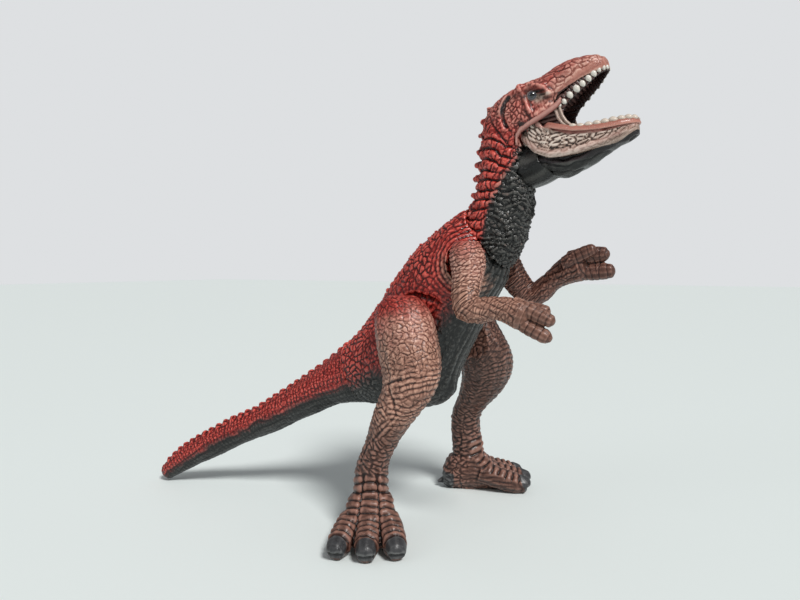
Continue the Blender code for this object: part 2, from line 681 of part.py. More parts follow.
def build_arm(label, side, joint, shoulder_seat, swing, bend, materials):
    outward = Vector((0, side, 0))
    face = shoulder_seat + outward * SEAM_GAP
    seam = shoulder_seat + outward * SEAM_GAP / 2
    turn = Matrix.Rotation(math.radians(-swing), 3, "Y")
    elbow = Vector((ELBOW_SHARES[0], 0, ELBOW_SHARES[1]))
    elbow_turn = Matrix.Rotation(math.radians(-bend), 3, "Y")

    def placed(forward, rise, across, angle):
        """A point of the arm and the way along it there."""
        point = Vector((forward, 0, rise))
        way = Vector((math.cos(math.radians(angle)), 0, math.sin(math.radians(angle))))
        if forward > FOREARM_START_SHARE:
            point = elbow + elbow_turn @ (point - elbow)
            way = elbow_turn @ way
        return face + turn @ point * UPPER_ARM_LENGTH + outward * across * ARM_DEPTH, turn @ way

    rows = [section_across(*placed(forward, rise, across, angle), depth * ARM_DEPTH, width * ARM_DEPTH)
            for forward, rise, angle, depth, width, across in ARM_SHARES]
    arm = loft(f"arm_{label}", domed(smooth_between(rows, 2), ARM_DEPTH * WRIST_DOME_SHARE), joint, ARM_SIDES,
               materials["tan_vinyl"])
    for number, (forward, rise, across, angle, length_share, size_share) in enumerate(FINGER_SHARES):
        start, ahead = placed(forward, rise, across, angle)
        length = FINGER_LENGTH * length_share
        radius = FINGER_RADIUS * size_share
        finger = [section_across(start + ahead * along * length, ahead, radius * size, radius * size)
                  for along, size in FINGER_ROW_SHARES]
        finger = domed(smooth_between(finger, 2), length * FINGER_DOME_SHARE)
        fuse(arm, loft(f"finger_{number}_{label}", finger, joint, TOE_SIDES))
    cut(arm,
        disc(f"shoulder_face_{label}", face, -outward, HIP_HEIGHT / 2, 0.0, SHOULDER_SEAT_WIDTH / 2, joint),
        bush_space(f"arm_shoulder_space_{label}", seam, outward, SHOULDER_STEM_RADIUS, SHOULDER_FLANGE_RADIUS,
                   joint))
    bush(f"shoulder_bush_{label}", seam, outward, SHOULDER_STEM_RADIUS, SHOULDER_FLANGE_RADIUS, joint,
         materials["hard_plastic"])


def half_rows(rows, first_and_last):
    first, last = first_and_last
    return smooth_between(rows, 2)[first:last + 1]


def lip_points(rows, inset, lift):
    """Points along one lip from the mouth's right corner round the snout to its left corner."""
    right = []
    for centre, top, side in rows[:-1]:
        edge = centre - top + top.normalized() * lift
        right.append((edge - side.normalized() * (side.length - inset), top.normalized()))
    centre, top, side = rows[-1]
    front = (centre - top + top.normalized() * lift, top.normalized())
    left = [(Vector((point.x, -point.y, point.z)), up) for point, up in reversed(right)]
    return right + [front] + left


def gum_and_teeth(name, points, per_side, joint, material):
    """A gum strip along the lip points, with round teeth standing on it."""
    strip = []
    for index, (point, up) in enumerate(points):
        before = points[max(index - 1, 0)][0]
        after = points[min(index + 1, len(points) - 1)][0]
        along = (after - before).normalized()
        side = up.cross(along).normalized()
        strip.append((point, up * GUM_HEIGHT / 2, side * GUM_THICKNESS / 2))
    gum = loft(name, strip, joint, BAR_SIDES, material, BAR_POWER, BAR_POWER)
    lengths = [0.0]
    for (first, _), (second, _) in zip(points, points[1:]):
        lengths.append(lengths[-1] + (second - first).length)
    count = per_side * 2
    bm = bmesh.new()
    for number in range(count):
        target = lengths[-1] * (2 * number + 1) / (2 * count)
        index = max(i for i, length in enumerate(lengths[:-1]) if length <= target)
        share = (target - lengths[index]) / (lengths[index + 1] - lengths[index])
        point = points[index][0].lerp(points[index + 1][0], share)
        tip_way = -points[index][1].lerp(points[index + 1][1], share).normalized()
        turn = tip_way.to_track_quat("Z", "Y").to_matrix().to_4x4()
        base = Matrix.Translation(point + tip_way * TOOTH_HEIGHT / 2) @ turn
        bmesh.ops.create_cone(bm, cap_ends=True, segments=TOOTH_SIDES, radius1=TOOTH_RADIUS,
                              radius2=TOOTH_RADIUS * TOOTH_TIP_SHARE, depth=TOOTH_HEIGHT, matrix=base)
    fuse(gum, object_from(bm, f"{name}_teeth", joint))


def build_head(joint, origin, axis, materials):
    rows = neck_head_sections(origin)
    rows[0] = moved_section(rows[0], axis * SEAM_GAP)
    outer = domed(smooth_between(rows, 2), NECK_HEAD_LENGTH * SNOUT_DOME_SHARE)
    head = loft("neck_head_shell", outer, joint, HEAD_SIDES, materials["red_vinyl"], 2.0, HEAD_LOWER_POWER)
    hollow = [(centre - top * NECK_HOLLOW_DROP_SHARE, top * NECK_HOLLOW_DEPTH_SHARE,
               side * NECK_HOLLOW_WIDTH_SHARE)
              for centre, top, side in shrunk(rows[HOLLOW_NECK_ROWS[0]:HOLLOW_NECK_ROWS[1]], WALL)]
    hollow[0] = moved_section(hollow[0], axis * WALL)
    seam = origin + axis * SEAM_GAP / 2
    cut(head,
        loft("neck_hollow", hollow, joint, ARM_SIDES),
        bush_space("neck_bush_space", seam, axis, NECK_STEM_RADIUS, NECK_FLANGE_RADIUS, joint))
    bush("neck_bush", seam, axis, NECK_STEM_RADIUS, NECK_FLANGE_RADIUS, joint, materials["hard_plastic"])
    return head, rows


def build_mouth(head, rows, joint, materials):
    """The mouth's roof space, its palate, and the upper gum with its teeth."""
    space = []
    for centre, top, side in half_rows(rows, MOUTH_HALF_ROWS):
        height = top * PALATE_HEIGHT_SHARE
        space.append((centre - top, height, side.normalized() * (side.length - LIP_WALL)))
    cut(head, loft("mouth_space", space, joint, TAIL_SIDES, None, BOX_POWER, BOX_POWER))
    inset = LIP_WALL + SEAT_GAP + GUM_THICKNESS / 2
    points = lip_points(half_rows(rows, UPPER_GUM_HALF_ROWS), inset, GUM_HEIGHT / 2 + SEAT_GAP)
    gum_and_teeth("upper_teeth", points, UPPER_TEETH_PER_SIDE, joint, materials["tooth_plastic"])
    palate = []
    for centre, top, side in half_rows(rows, PALATE_HALF_ROWS):
        up = top.normalized()
        height = top.length * PALATE_HEIGHT_SHARE - SEAT_GAP - PALATE_THICKNESS / 2
        width = side.length - LIP_WALL - GUM_THICKNESS - 3 * SEAT_GAP
        palate.append((centre - top + up * height, up * PALATE_THICKNESS / 2, side.normalized() * width))
    loft("palate", palate, joint, TAIL_SIDES, materials["mouth_vinyl"], BAR_POWER, BAR_POWER)


def build_eyes(head, origin, joint, materials):
    for label, side in (("right", -1), ("left", 1)):
        place = origin + Vector((EYE_SHARES[0], 0, EYE_SHARES[1])) * NECK_HEAD_LENGTH
        place.y = side * EYE_SPACING / 2
        cut(head, ball(f"eye_socket_{label}", place, EYE_RADIUS + SEAT_GAP, joint))
        ball(f"eye_{label}", place, EYE_RADIUS, joint, materials["eye_plastic"])


def ball(name, centre, radius, joint, material=None):
    bm = bmesh.new()
    bmesh.ops.create_uvsphere(bm, u_segments=PIN_STEPS, v_segments=PIN_STEPS // 2 + 1, radius=radius,
                              matrix=Matrix.Translation(centre))
    return object_from(bm, name, joint, material)


def build_jaw(head, origin, neck, materials):
    """The lower jaw on its pin, its gum and teeth, and the floor of the mouth."""
    hinge = origin + Vector((JAW_HINGE_SHARES[0], 0, JAW_HINGE_SHARES[1])) * NECK_HEAD_LENGTH
    joint = joint_point("jaw_hinge", hinge, neck)
    across = Vector((0, 1, 0))
    space = domed(smooth_between(jaw_sections(origin, TURNING_CLEARANCE), 2), JAW_WALL)
    rear = (space[0][0] - space[1][0]).normalized()
    space[0] = moved_section(space[0], rear * TURNING_CLEARANCE * 2)
    for number, degrees in enumerate((0.0, JAW_CLOSING / 2, JAW_CLOSING)):
        swept = turned_sections(space, hinge, degrees)
        cut(head, loft(f"jaw_space_{number}", swept, neck, TAIL_SIDES, None, JAW_UPPER_POWER))
    half_pin = JAW_PIN_LENGTH / 2
    cut(head,
        disc("lug_space", hinge, across, JAW_LUG_RADIUS + TURNING_CLEARANCE, -CHEEK_SPACE / 2,
             CHEEK_SPACE / 2, neck),
        disc("pin_bore", hinge, across, JAW_PIN_RADIUS + SEAT_GAP, -half_pin - SEAT_GAP,
             half_pin + SEAT_GAP, neck, PIN_STEPS))
    disc("jaw_pin", hinge, across, JAW_PIN_RADIUS, -half_pin, half_pin, neck, PIN_STEPS,
         materials["hard_plastic"])

    rows = jaw_sections(origin)
    lug_middle = CHEEK_SPACE / 2 - TURNING_CLEARANCE - JAW_LUG_THICKNESS / 2
    lug_end = rows[LUG_ARM_ROW][0] + rows[LUG_ARM_ROW][1] * LUG_ARM_REACH_SHARE

    def lug_arm(side, grown):
        start = hinge + across * side * lug_middle
        end = Vector((lug_end.x, start.y, lug_end.z))
        half = (JAW_LUG_THICKNESS / 2 + grown) * LUG_ARM_WIDTH_SHARE
        return [section_across(start, end - start, JAW_LUG_RADIUS * LUG_ARM_START_SHARE + grown, half),
                section_across(end, end - start, JAW_LUG_RADIUS * LUG_ARM_END_SHARE + grown, half)]

    jaw = loft("lower_jaw", domed(smooth_between(rows, 2), JAW_WALL * CHIN_DOME_SHARE), joint, TAIL_SIDES,
               materials["jaw_vinyl"], JAW_UPPER_POWER)
    half = JAW_LUG_THICKNESS / 2
    for label, side in (("right", -1), ("left", 1)):
        middle = hinge + across * side * lug_middle
        fuse(jaw,
             disc(f"lug_{label}", middle, across, JAW_LUG_RADIUS, -half, half, joint),
             loft(f"lug_arm_{label}", lug_arm(side, 0.0), joint, BAR_SIDES, None, BOX_POWER, BOX_POWER))
        cut(head, loft(f"lug_arm_space_{label}", lug_arm(side, TURNING_CLEARANCE), neck, BAR_SIDES, None,
                       BOX_POWER, BOX_POWER))
    trough = []
    floor = []
    for centre, top, side in half_rows(rows, TROUGH_HALF_ROWS):
        depth = top * TROUGH_DEPTH_SHARE
        trough.append((centre + top, depth, side.normalized() * (side.length - JAW_WALL)))
    for centre, top, side in half_rows(rows, FLOOR_HALF_ROWS):
        up = top.normalized()
        depth = top.length * TROUGH_DEPTH_SHARE - SEAT_GAP - TONGUE_THICKNESS / 2
        width = side.length - JAW_WALL - GUM_THICKNESS - 3 * SEAT_GAP
        floor.append((centre + top - up * depth, up * TONGUE_THICKNESS / 2, side.normalized() * width))
    cut(jaw,
        loft("jaw_trough", trough, joint, TAIL_SIDES, None, BOX_POWER, BOX_POWER),
        disc("jaw_pin_space", hinge, across, JAW_PIN_RADIUS + SEAT_GAP, -CHEEK_SPACE / 2, CHEEK_SPACE / 2,
             joint, PIN_STEPS))
    loft("mouth_floor", floor, joint, TAIL_SIDES, materials["mouth_vinyl"], BAR_POWER, BAR_POWER)
    flipped = [(centre, -top, side) for centre, top, side in half_rows(rows, LOWER_GUM_HALF_ROWS)]
    inset = JAW_WALL + SEAT_GAP + GUM_THICKNESS / 2
    points = lip_points(flipped, inset, GUM_HEIGHT / 2 + SEAT_GAP)
    gum_and_teeth("lower_teeth", points, LOWER_TEETH_PER_SIDE, joint, materials["tooth_plastic"])


def centre_figure(figure):
    """Stand the figure's box on the floor, centred on the origin."""
    bpy.context.view_layer.update()
    graph = bpy.context.evaluated_depsgraph_get()
    corners = [thing.matrix_world @ Vector(corner) for thing in bpy.data.objects
               if thing.type == "MESH" and not thing.hide_render
               for corner in thing.evaluated_get(graph).bound_box]
    low = [min(values) for values in zip(*corners)]
    high = [max(values) for values in zip(*corners)]
    figure.location = (-(low[0] + high[0]) / 2, -(low[1] + high[1]) / 2, -low[2])


def build_all():
    remove_everything()
    materials = {name: make_material(name, colour[:3], colour[3]) for name, colour in VINYL_COLOURS.items()}
    figure = joint_point("figure", Vector())
    torso, neck_centre, neck_axis, tail_centre, tail_axis = build_torso(figure, materials["red_vinyl"])
    cut(torso,
        bush_space("torso_tail_space", tail_centre + tail_axis * SEAM_GAP / 2, tail_axis, TAIL_STEM_RADIUS,
                   TAIL_FLANGE_RADIUS, figure),
        bush_space("torso_neck_space", neck_centre + neck_axis * SEAM_GAP / 2, neck_axis, NECK_STEM_RADIUS,
                   NECK_FLANGE_RADIUS, figure))
    build_tail(figure, tail_centre, tail_axis, materials)
    shoulder = Vector((SHOULDER_FORWARD, 0, HIP_HEIGHT + SHOULDER_RISE))
    sides = (("right", -1, RIGHT_LEG_FORWARD_SHARES, RIGHT_LEG_SIDE_SHARES, 1.0, RIGHT_FOOT_HEADING,
              RIGHT_ARM_SWING, RIGHT_ELBOW_BEND),
             ("left", 1, LEFT_LEG_FORWARD_SHARES, LEFT_LEG_SIDE_SHARES, LEFT_LEG_SIZE_SHARE, LEFT_FOOT_HEADING,
              LEFT_ARM_SWING, LEFT_ELBOW_BEND))
    for label, side, forward_shares, side_shares, size, heading, swing, bend in sides:
        hip_seat, shoulder_seat = build_limb_seats(torso, figure, label, side, shoulder)
        hip = joint_point(f"hip_{label}", hip_seat, figure)
        build_leg(label, side, hip, hip_seat, forward_shares, side_shares, size, heading, materials)
        arm_joint = joint_point(f"shoulder_{label}", shoulder_seat, figure)
        build_arm(label, side, arm_joint, shoulder_seat, swing, bend, materials)
    neck = joint_point("neck_swivel", neck_centre, figure)
    head, head_rows = build_head(neck, neck_centre, neck_axis, materials)
    build_mouth(head, head_rows, neck, materials)
    build_eyes(head, neck_centre, neck, materials)
    build_jaw(head, neck_centre, neck, materials)
    centre_figure(figure)


build_all()
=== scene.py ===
import itertools
import json
import math

import bmesh
import bpy
import numpy as np
from mathutils import Matrix, Vector


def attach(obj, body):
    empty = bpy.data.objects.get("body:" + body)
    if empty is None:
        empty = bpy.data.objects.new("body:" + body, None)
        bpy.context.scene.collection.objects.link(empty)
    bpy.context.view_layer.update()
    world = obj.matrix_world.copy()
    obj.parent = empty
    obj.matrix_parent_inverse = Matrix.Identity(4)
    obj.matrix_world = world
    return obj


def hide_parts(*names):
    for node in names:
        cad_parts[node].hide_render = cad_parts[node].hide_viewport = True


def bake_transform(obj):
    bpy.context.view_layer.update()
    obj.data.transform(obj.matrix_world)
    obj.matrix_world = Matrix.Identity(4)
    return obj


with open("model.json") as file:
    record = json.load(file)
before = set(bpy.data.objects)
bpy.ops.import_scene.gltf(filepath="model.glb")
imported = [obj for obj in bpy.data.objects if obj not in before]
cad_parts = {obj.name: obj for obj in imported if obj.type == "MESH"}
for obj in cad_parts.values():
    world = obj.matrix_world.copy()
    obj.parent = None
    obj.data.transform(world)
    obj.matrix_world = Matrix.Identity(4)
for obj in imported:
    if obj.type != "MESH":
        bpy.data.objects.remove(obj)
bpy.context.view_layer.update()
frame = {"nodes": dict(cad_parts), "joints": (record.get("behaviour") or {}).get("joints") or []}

MM = 0.001
JOINTS = {joint["name"]: Vector(joint["pos_m"]) for joint in frame["joints"]}
AXES = {joint["name"]: Vector(joint["axis"]) for joint in frame["joints"]}
MIDDLE = JOINTS["neck_swivel"].y / MM

# The stems that join the mouldings, and their holes' radii in millimetres.
TAIL_STEM = (Vector((-13.2, MIDDLE, 97)) * MM, Vector((0.93, 0, 0.2)))
BORES = {
    "torso_shell": (("neck_swivel", 11), ("hip_right", 11), ("hip_left", 11), ("shoulder_right", 6),
                    ("shoulder_left", 6), (TAIL_STEM, 12)),
    "tail_shell": ((TAIL_STEM, 12),),
    "neck_head_shell": (("neck_swivel", 11),),
    "leg_right": (("hip_right", 11),),
    "leg_left": (("hip_left", 11),),
    "arm_right": (("shoulder_right", 6),),
    "arm_left": (("shoulder_left", 6),),
}

# The view of the photograph: place, heading to the left of +Y, tilt down and focal length.
CAMERA_PLACE = (0.26636, -0.43708, 0.1760)
CAMERA_HEADING = 30.0
CAMERA_TILT = 2.86
CAMERA_LENS = 31.5

# Lines on the figure, in millimetres, as (forward, up) in its side view.
# The red of the back lies above this one, from the tail's tip to the snout.
RED_LINE = ((-188, 2), (-174, 12), (-154, 27), (-127, 42), (-95, 57.5), (-63, 72), (-35, 85.5), (-5, 97), (12, 104),
            (40, 122), (55, 133), (60, 143), (68, 154), (74, 163), (79, 171), (86, 181), (90, 192), (92, 202),
            (95, 214),
            (99, 222), (103, 229), (108, 237), (111, 245), (113, 251), (120, 253), (136, 262), (152, 275), (164, 282),
            (180, 288))
# The pale jaw lies above this one and the dark throat below it.
THROAT_LINE = ((104, 262), (109, 254), (117.4, 246.9), (122.6, 242.2), (131.8, 239.2), (140.7, 239.3),
               (149.4, 240.6), (157.7, 242.7), (165.7, 245.1), (175.9, 248.8), (185.7, 254.0), (196, 257.5))
# Where the snout's tip and the chin start, and the share of their length that is kept.
HEAD_TIP = (155, 0.76)
CHIN = (165, 0.764)
HEAD_PATH = ((84, 160), (88, 215), (90, 235), (98, 256), (115, 271), (135, 284), (165, 297))
TORSO_PATH = ((-30, 90), (14, 110), (36, 132), (55, 150), (72, 172), (88, 200))
TAIL_PATH = ((-190, 2), (-150, 34), (-100, 62), (-50, 83), (0, 100))
JAW_PATH = ((100, 262), (112, 250), (124, 243), (140, 241), (165, 247), (190, 254))


def mirrored(points):
    """A path on the figure's right, and its like on the left."""
    return [points, [(x, 2 * MIDDLE - y, z) for x, y, z in points]]


# ---- patterns ----

def step(values, low, high):
    share = np.clip((values - low) / (high - low), 0, 1)
    return share * share * (3 - 2 * share)


def chance(cells, salt):
    """A random number from 0 to 1 for each whole-numbered cell."""
    x, y, z = cells.astype(np.int64).astype(np.uint32).T
    mixed = x * np.uint32(0x8DA6B343) ^ y * np.uint32(0xD8163841) ^ z * np.uint32(0xCB1AB31F)
    mixed ^= np.uint32(salt * 0x9E3779B1 & 0xFFFFFFFF)
    mixed ^= mixed >> np.uint32(15)
    mixed *= np.uint32(0x2C1B3C6D)
    mixed ^= mixed >> np.uint32(12)
    mixed *= np.uint32(0x297A2D39)
    mixed ^= mixed >> np.uint32(15)
    return mixed / 4294967295.0


def drift(points, size, salt, octaves=2):
    """Smooth noise from -1 to 1, with waves about size long."""
    total = 0
    for octave in range(octaves):
        place = points / size * 2 ** octave + salt * 17.3
        base = np.floor(place)
        share = place - base
        share = share * share * (3 - 2 * share)
        value = 0
        for corner in itertools.product((0, 1), repeat=3):
            weight = np.prod(np.where(corner, share, 1 - share), axis=1)
            value = value + weight * chance(base + corner, salt + octave)
        total = total + (value * 2 - 1) / 2 ** octave
    return total


def scales_at(grain, jitter, salt):
    """Irregular scales: the distance in cells from the nearest border, and each scale's shade."""
    base = np.floor(grain)
    near = np.full((2, len(grain)), 9.0)
    first_place = np.zeros((len(grain), 3))
    second_place = np.zeros((len(grain), 3))
    shade = np.zeros(len(grain))
    for offset in itertools.product((-1, 0, 1), repeat=3):
        cell = base + offset
        place = cell + 0.5 + jitter * (np.stack([chance(cell, salt + k) for k in (1, 2, 3)], 1) - 0.5)
        distance = np.linalg.norm(place - grain, axis=1)
        first = distance < near[0]
        second = ~first & (distance < near[1])
        near[1] = np.where(first, near[0], np.where(second, distance, near[1]))
        second_place = np.where(first[:, None], first_place, np.where(second[:, None], place, second_place))
        near[0] = np.where(first, distance, near[0])
        first_place = np.where(first[:, None], place, first_place)
        shade = np.where(first, chance(cell, salt + 4), shade)
    way = second_place - first_place
    gap = np.einsum("ij,ij->i", (first_place + second_place) / 2 - grain, way)
    return np.maximum(gap / np.maximum(np.linalg.norm(way, axis=1), 1e-6), 0), shade


def to_path(points, path):
    """Each point's distance from a path, and how far along the path its nearest place lies."""
    path = np.array([tuple(p) for p in path], float)
    best = np.full(len(points), 1e9)
    along = np.zeros(len(points))
    run = 0.0
    for first, second in zip(path, path[1:]):
        way = second - first
        length = np.linalg.norm(way)
        share = np.clip(((points - first) @ way) / (length * length), 0, 1)
        distance = np.linalg.norm(points - first - share[:, None] * way, axis=1)
        closer = distance < best
        best = np.where(closer, distance, best)
        along = np.where(closer, run + share * length, along)
        run += length
    return best, along


def above_line(points, line):
    """The distance in the side view from a line, positive above or behind it."""
    flat = points[:, [0, 2]]
    line = np.array(line, float)
    best = np.full(len(flat), 1e9)
    side = np.zeros(len(flat))
    for first, second in zip(line, line[1:]):
        way = second - first
        share = np.clip(((flat - first) @ way) / (way @ way), 0, 1)
        gap = flat - first - share[:, None] * way
        distance = np.linalg.norm(gap, axis=1)
        cross = way[0] * gap[:, 1] - way[1] * gap[:, 0]
        closer = distance < best
        best = np.where(closer, distance, best)
        side = np.where(closer, np.sign(cross), side)
    return best * side


def along_line(points, line):
    return to_path(points[:, [0, 2]], line)[1]


def even_places(path, spacing):
    """Places at an even spacing along a path of the side view."""
    path = np.array(path, float)
    lengths = np.concatenate(([0], np.cumsum(np.linalg.norm(np.diff(path, axis=0), axis=1))))
    places = np.arange(spacing / 2, lengths[-1], spacing)
    return np.column_stack((np.interp(places, lengths, path[:, 0]), np.interp(places, lengths, path[:, 1])))


def wandering(points, size, salt):
    """Noise in three directions, which bends a pattern."""
    return np.column_stack([drift(points, size, salt + k) for k in range(3)])


# ---- meshes ----

def add_object(name, data):
    thing = bpy.data.objects.new(name, data)
    bpy.context.scene.collection.objects.link(thing)
    return thing


def vectors(rows, key):
    """The places or the normals of a mesh's points."""
    values = np.zeros(len(rows) * 3, np.float32)
    rows.foreach_get(key, values)
    return values.reshape(-1, 3)


def keep(mesh, name, values):
    """Keep a number or a vector for each point, which the paint reads."""
    values = np.asarray(values, np.float32)
    kind, key = ("FLOAT_VECTOR", "vector") if values.ndim == 2 else ("FLOAT", "value")
    mesh.attributes.new(name, kind, "POINT").data.foreach_set(key, values.ravel())


# ---- skins ----

class Skin:
    """A fine, even skin over a moulding, whose points are then lifted and lowered."""

    def __init__(self, name, node, cell, rounds):
        self.node = node
        cell = cell * 1.0
        bm = bmesh.new()
        bm.from_mesh(frame["nodes"][node].data)
        bmesh.ops.remove_doubles(bm, verts=bm.verts, dist=0.001 * MM)
        stop_bores(bm, node)
        mesh = bpy.data.meshes.new(name)
        bm.to_mesh(mesh)
        bm.free()
        self.object = add_object(name, mesh)
        even = self.object.modifiers.new("even", "REMESH")
        even.mode = "VOXEL"
        even.voxel_size = cell * MM
        even.adaptivity = 0.0
        graph = bpy.context.evaluated_depsgraph_get()
        fine = bpy.data.meshes.new_from_object(self.object.evaluated_get(graph))
        self.object.modifiers.clear()
        self.object.data = fine
        bpy.data.meshes.remove(mesh)
        fine.name = name
        self.mesh = fine
        edges = np.zeros(len(fine.edges) * 2, np.int32)
        fine.edges.foreach_get("vertices", edges)
        self.edges = edges.reshape(-1, 2)
        self.points = vectors(fine.vertices, "co").astype(float) / MM
        self.count = np.maximum(np.bincount(edges, minlength=len(self.points)), 1)
        for _ in range(rounds):
            for share in (0.6, -0.61):
                for axis in range(3):
                    values = self.points[:, axis]
                    self.points[:, axis] = values + share * (self.around(values) - values)
        self.lift = np.zeros(len(self.points))
        self.shade = np.full(len(self.points), 0.5)
        self.refresh()

    def around(self, values):
        """The mean of each point's neighbours."""
        first, second = self.edges.T
        total = np.bincount(first, values[second], len(values)) + np.bincount(second, values[first], len(values))
        return total / self.count

    def spread(self, values, rounds):
        for _ in range(rounds):
            values = (values + self.around(values)) / 2
        return values

    def refresh(self):
        self.mesh.vertices.foreach_set("co", (self.points * MM).astype(np.float32).ravel())
        self.mesh.update()
        self.normals = vectors(self.mesh.vertex_normals, "vector")

    def settle(self):
        """Move the points by what has been added so far."""
        self.points += self.normals * self.lift[:, None]
        self.lift[:] = 0
        self.refresh()

    def ridge(self, path, width, height, share=1.0):
        """A rounded ridge along a path. A negative height makes a groove."""
        distance, _ = to_path(self.points, path)
        self.lift += height * np.exp(-(distance / width) ** 2) * share

    def on_skin(self, path):
        """The skin's nearest places to a path's points."""
        return [self.points[np.argmin(np.linalg.norm(self.points - np.array(place), axis=1))] for place in path]

    def soften(self, path, reach, rounds):
        """Smooth the skin near a path on both sides."""
        even = np.column_stack([self.spread(self.points[:, axis], rounds) for axis in range(3)])
        for side in mirrored(path):
            distance, _ = to_path(self.points, side)
            self.points += (even - self.points) * step(distance, reach, reach * 0.5)[:, None]
        self.refresh()

    def near(self, path, outer, inner):
        """1 near a path on both sides, fading to 0 at the outer distance."""
        return np.maximum(*(step(to_path(self.points, side)[0], outer, inner) for side in mirrored(path)))

    def bump(self, place, radius, height):
        """A round bump on the skin's nearest place."""
        gaps = np.linalg.norm(self.points - np.array(place), axis=1)
        foot = self.points[np.argmin(gaps)]
        distance = np.linalg.norm(self.points - foot, axis=1)
        self.lift += height * np.exp(-(distance / radius) ** 2.6)

    def dent(self, centre, tilt, long, short, depth):
        """An oval dent in both sides, its centre and tilt given in the side view."""
        across = math.radians(tilt)
        x = self.points[:, 0] - centre[0]
        z = self.points[:, 2] - centre[1]
        first = (x * math.cos(across) + z * math.sin(across)) / long
        second = (z * math.cos(across) - x * math.sin(across)) / short
        steep = np.where(second < 0, 1.0, 2.0)
        oval = np.exp(-((first ** 2 + second ** 2) ** steep)) * step(np.abs(self.normals[:, 1]), 0.2, 0.6)
        self.lift -= depth * oval
        return oval

    def scales(self, grain, height, share=1.0, jitter=0.75, salt=0, crack=0.2):
        edge, shade = scales_at(grain, jitter, salt)
        profile = 0.65 * step(edge, 0, crack) + 0.35 * step(edge, 0.05, 0.5) - 0.6
        self.lift += height * profile * share
        self.shade = np.where(np.broadcast_to(share, len(shade)) > 0.5, shade, self.shade)

    def folds(self, along, spacing, height, share=1.0, roundness=0.6):
        """Round folds across a coordinate, with narrow grooves between them."""
        wave = np.abs(np.sin(along * math.pi / spacing)) ** roundness
        self.lift += height * (wave - 0.65) * share

    def pull(self, path, move, radius):
        """Draw the skin along, near a path on both sides."""
        for side in mirrored(path):
            distance, _ = to_path(self.points, side)
            self.points += np.exp(-(distance / radius) ** 2)[:, None] * np.array(move)
        self.refresh()

    def meet(self, line, reach):
        """Move the top edge of both sides to a line of the side view, fading out below it."""
        line = np.array(line, float)
        places = np.arange(line[0, 0] - 3, line[-1, 0] + 3.1, 1.0)
        for side in (-1, 1):
            half = side * (self.points[:, 1] - MIDDLE) > 8
            tops = [self.points[half & (np.abs(self.points[:, 0] - place) < 0.7), 2].max() for place in places]
            x, z = self.points[:, 0], self.points[:, 2]
            tops = np.convolve(np.pad(tops, 2, "edge"), np.ones(5) / 5, "valid")
            top = np.interp(x, places, tops)
            fade = step(x, line[0, 0] - 3, line[0, 0] + 1) * step(x, line[-1, 0] + 3, line[-1, 0] - 1)
            share = half * fade * step(z, top - reach, top)
            self.points[:, 2] += share * (np.interp(x, *line.T) - top)
        self.refresh()

    def shorten(self, start, share):
        """Press what lies ahead of a place together, to a share of its length."""
        self.settle()
        x = self.points[:, 0]
        self.points[:, 0] = np.where(x > start, start + (x - start) * share, x)
        self.refresh()

    def finish(self, grain, material, body, zones, wash=0.30):
        """Lift the points, and keep the pattern's coordinates, hollows and paint zones as attributes."""
        self.settle()
        depth = np.zeros(len(self.points))
        for axis in range(3):
            spread = self.spread(self.points[:, axis], 10)
            depth += (self.points[:, axis] - spread) * self.normals[:, axis]
        depth -= self.spread(depth, 40)
        self.mesh.polygons.foreach_set("use_smooth", np.ones(len(self.mesh.polygons), bool))
        layers = {"grain": grain, "depth": np.clip(depth / wash, -1, 1), "shade": self.shade, **zones}
        for name, values in layers.items():
            keep(self.mesh, name, values)
        self.mesh.materials.clear()
        self.mesh.materials.append(material)
        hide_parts(self.node)
        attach(self.object, body)
        return self.object


def crisp(values):
    """A paint zone with a sharp edge."""
    return values * 4 - 1.5


def stop_bores(bm, node):
    """Stop up a moulding's holes, so that the even skin goes over its outside only."""
    for stem, radius in BORES.get(node, ()):
        place, axis = stem if isinstance(stem, tuple) else (JOINTS[stem], AXES[stem])
        turn = axis.to_track_quat("Z", "Y").to_matrix().to_4x4()
        bmesh.ops.create_cone(bm, cap_ends=True, segments=32, radius1=radius * MM, radius2=radius * MM,
                              depth=7 * MM, matrix=Matrix.Translation(place) @ turn)


# ---- finishes ----

def seen(red, green, blue):
    """A colour as it is seen, from 0 to 255, as the shader's linear colour."""
    return tuple(c / 255 / 12.92 if c <= 10 else ((c / 255 + 0.055) / 1.055) ** 2.4
                 for c in (red, green, blue)) + (1,)


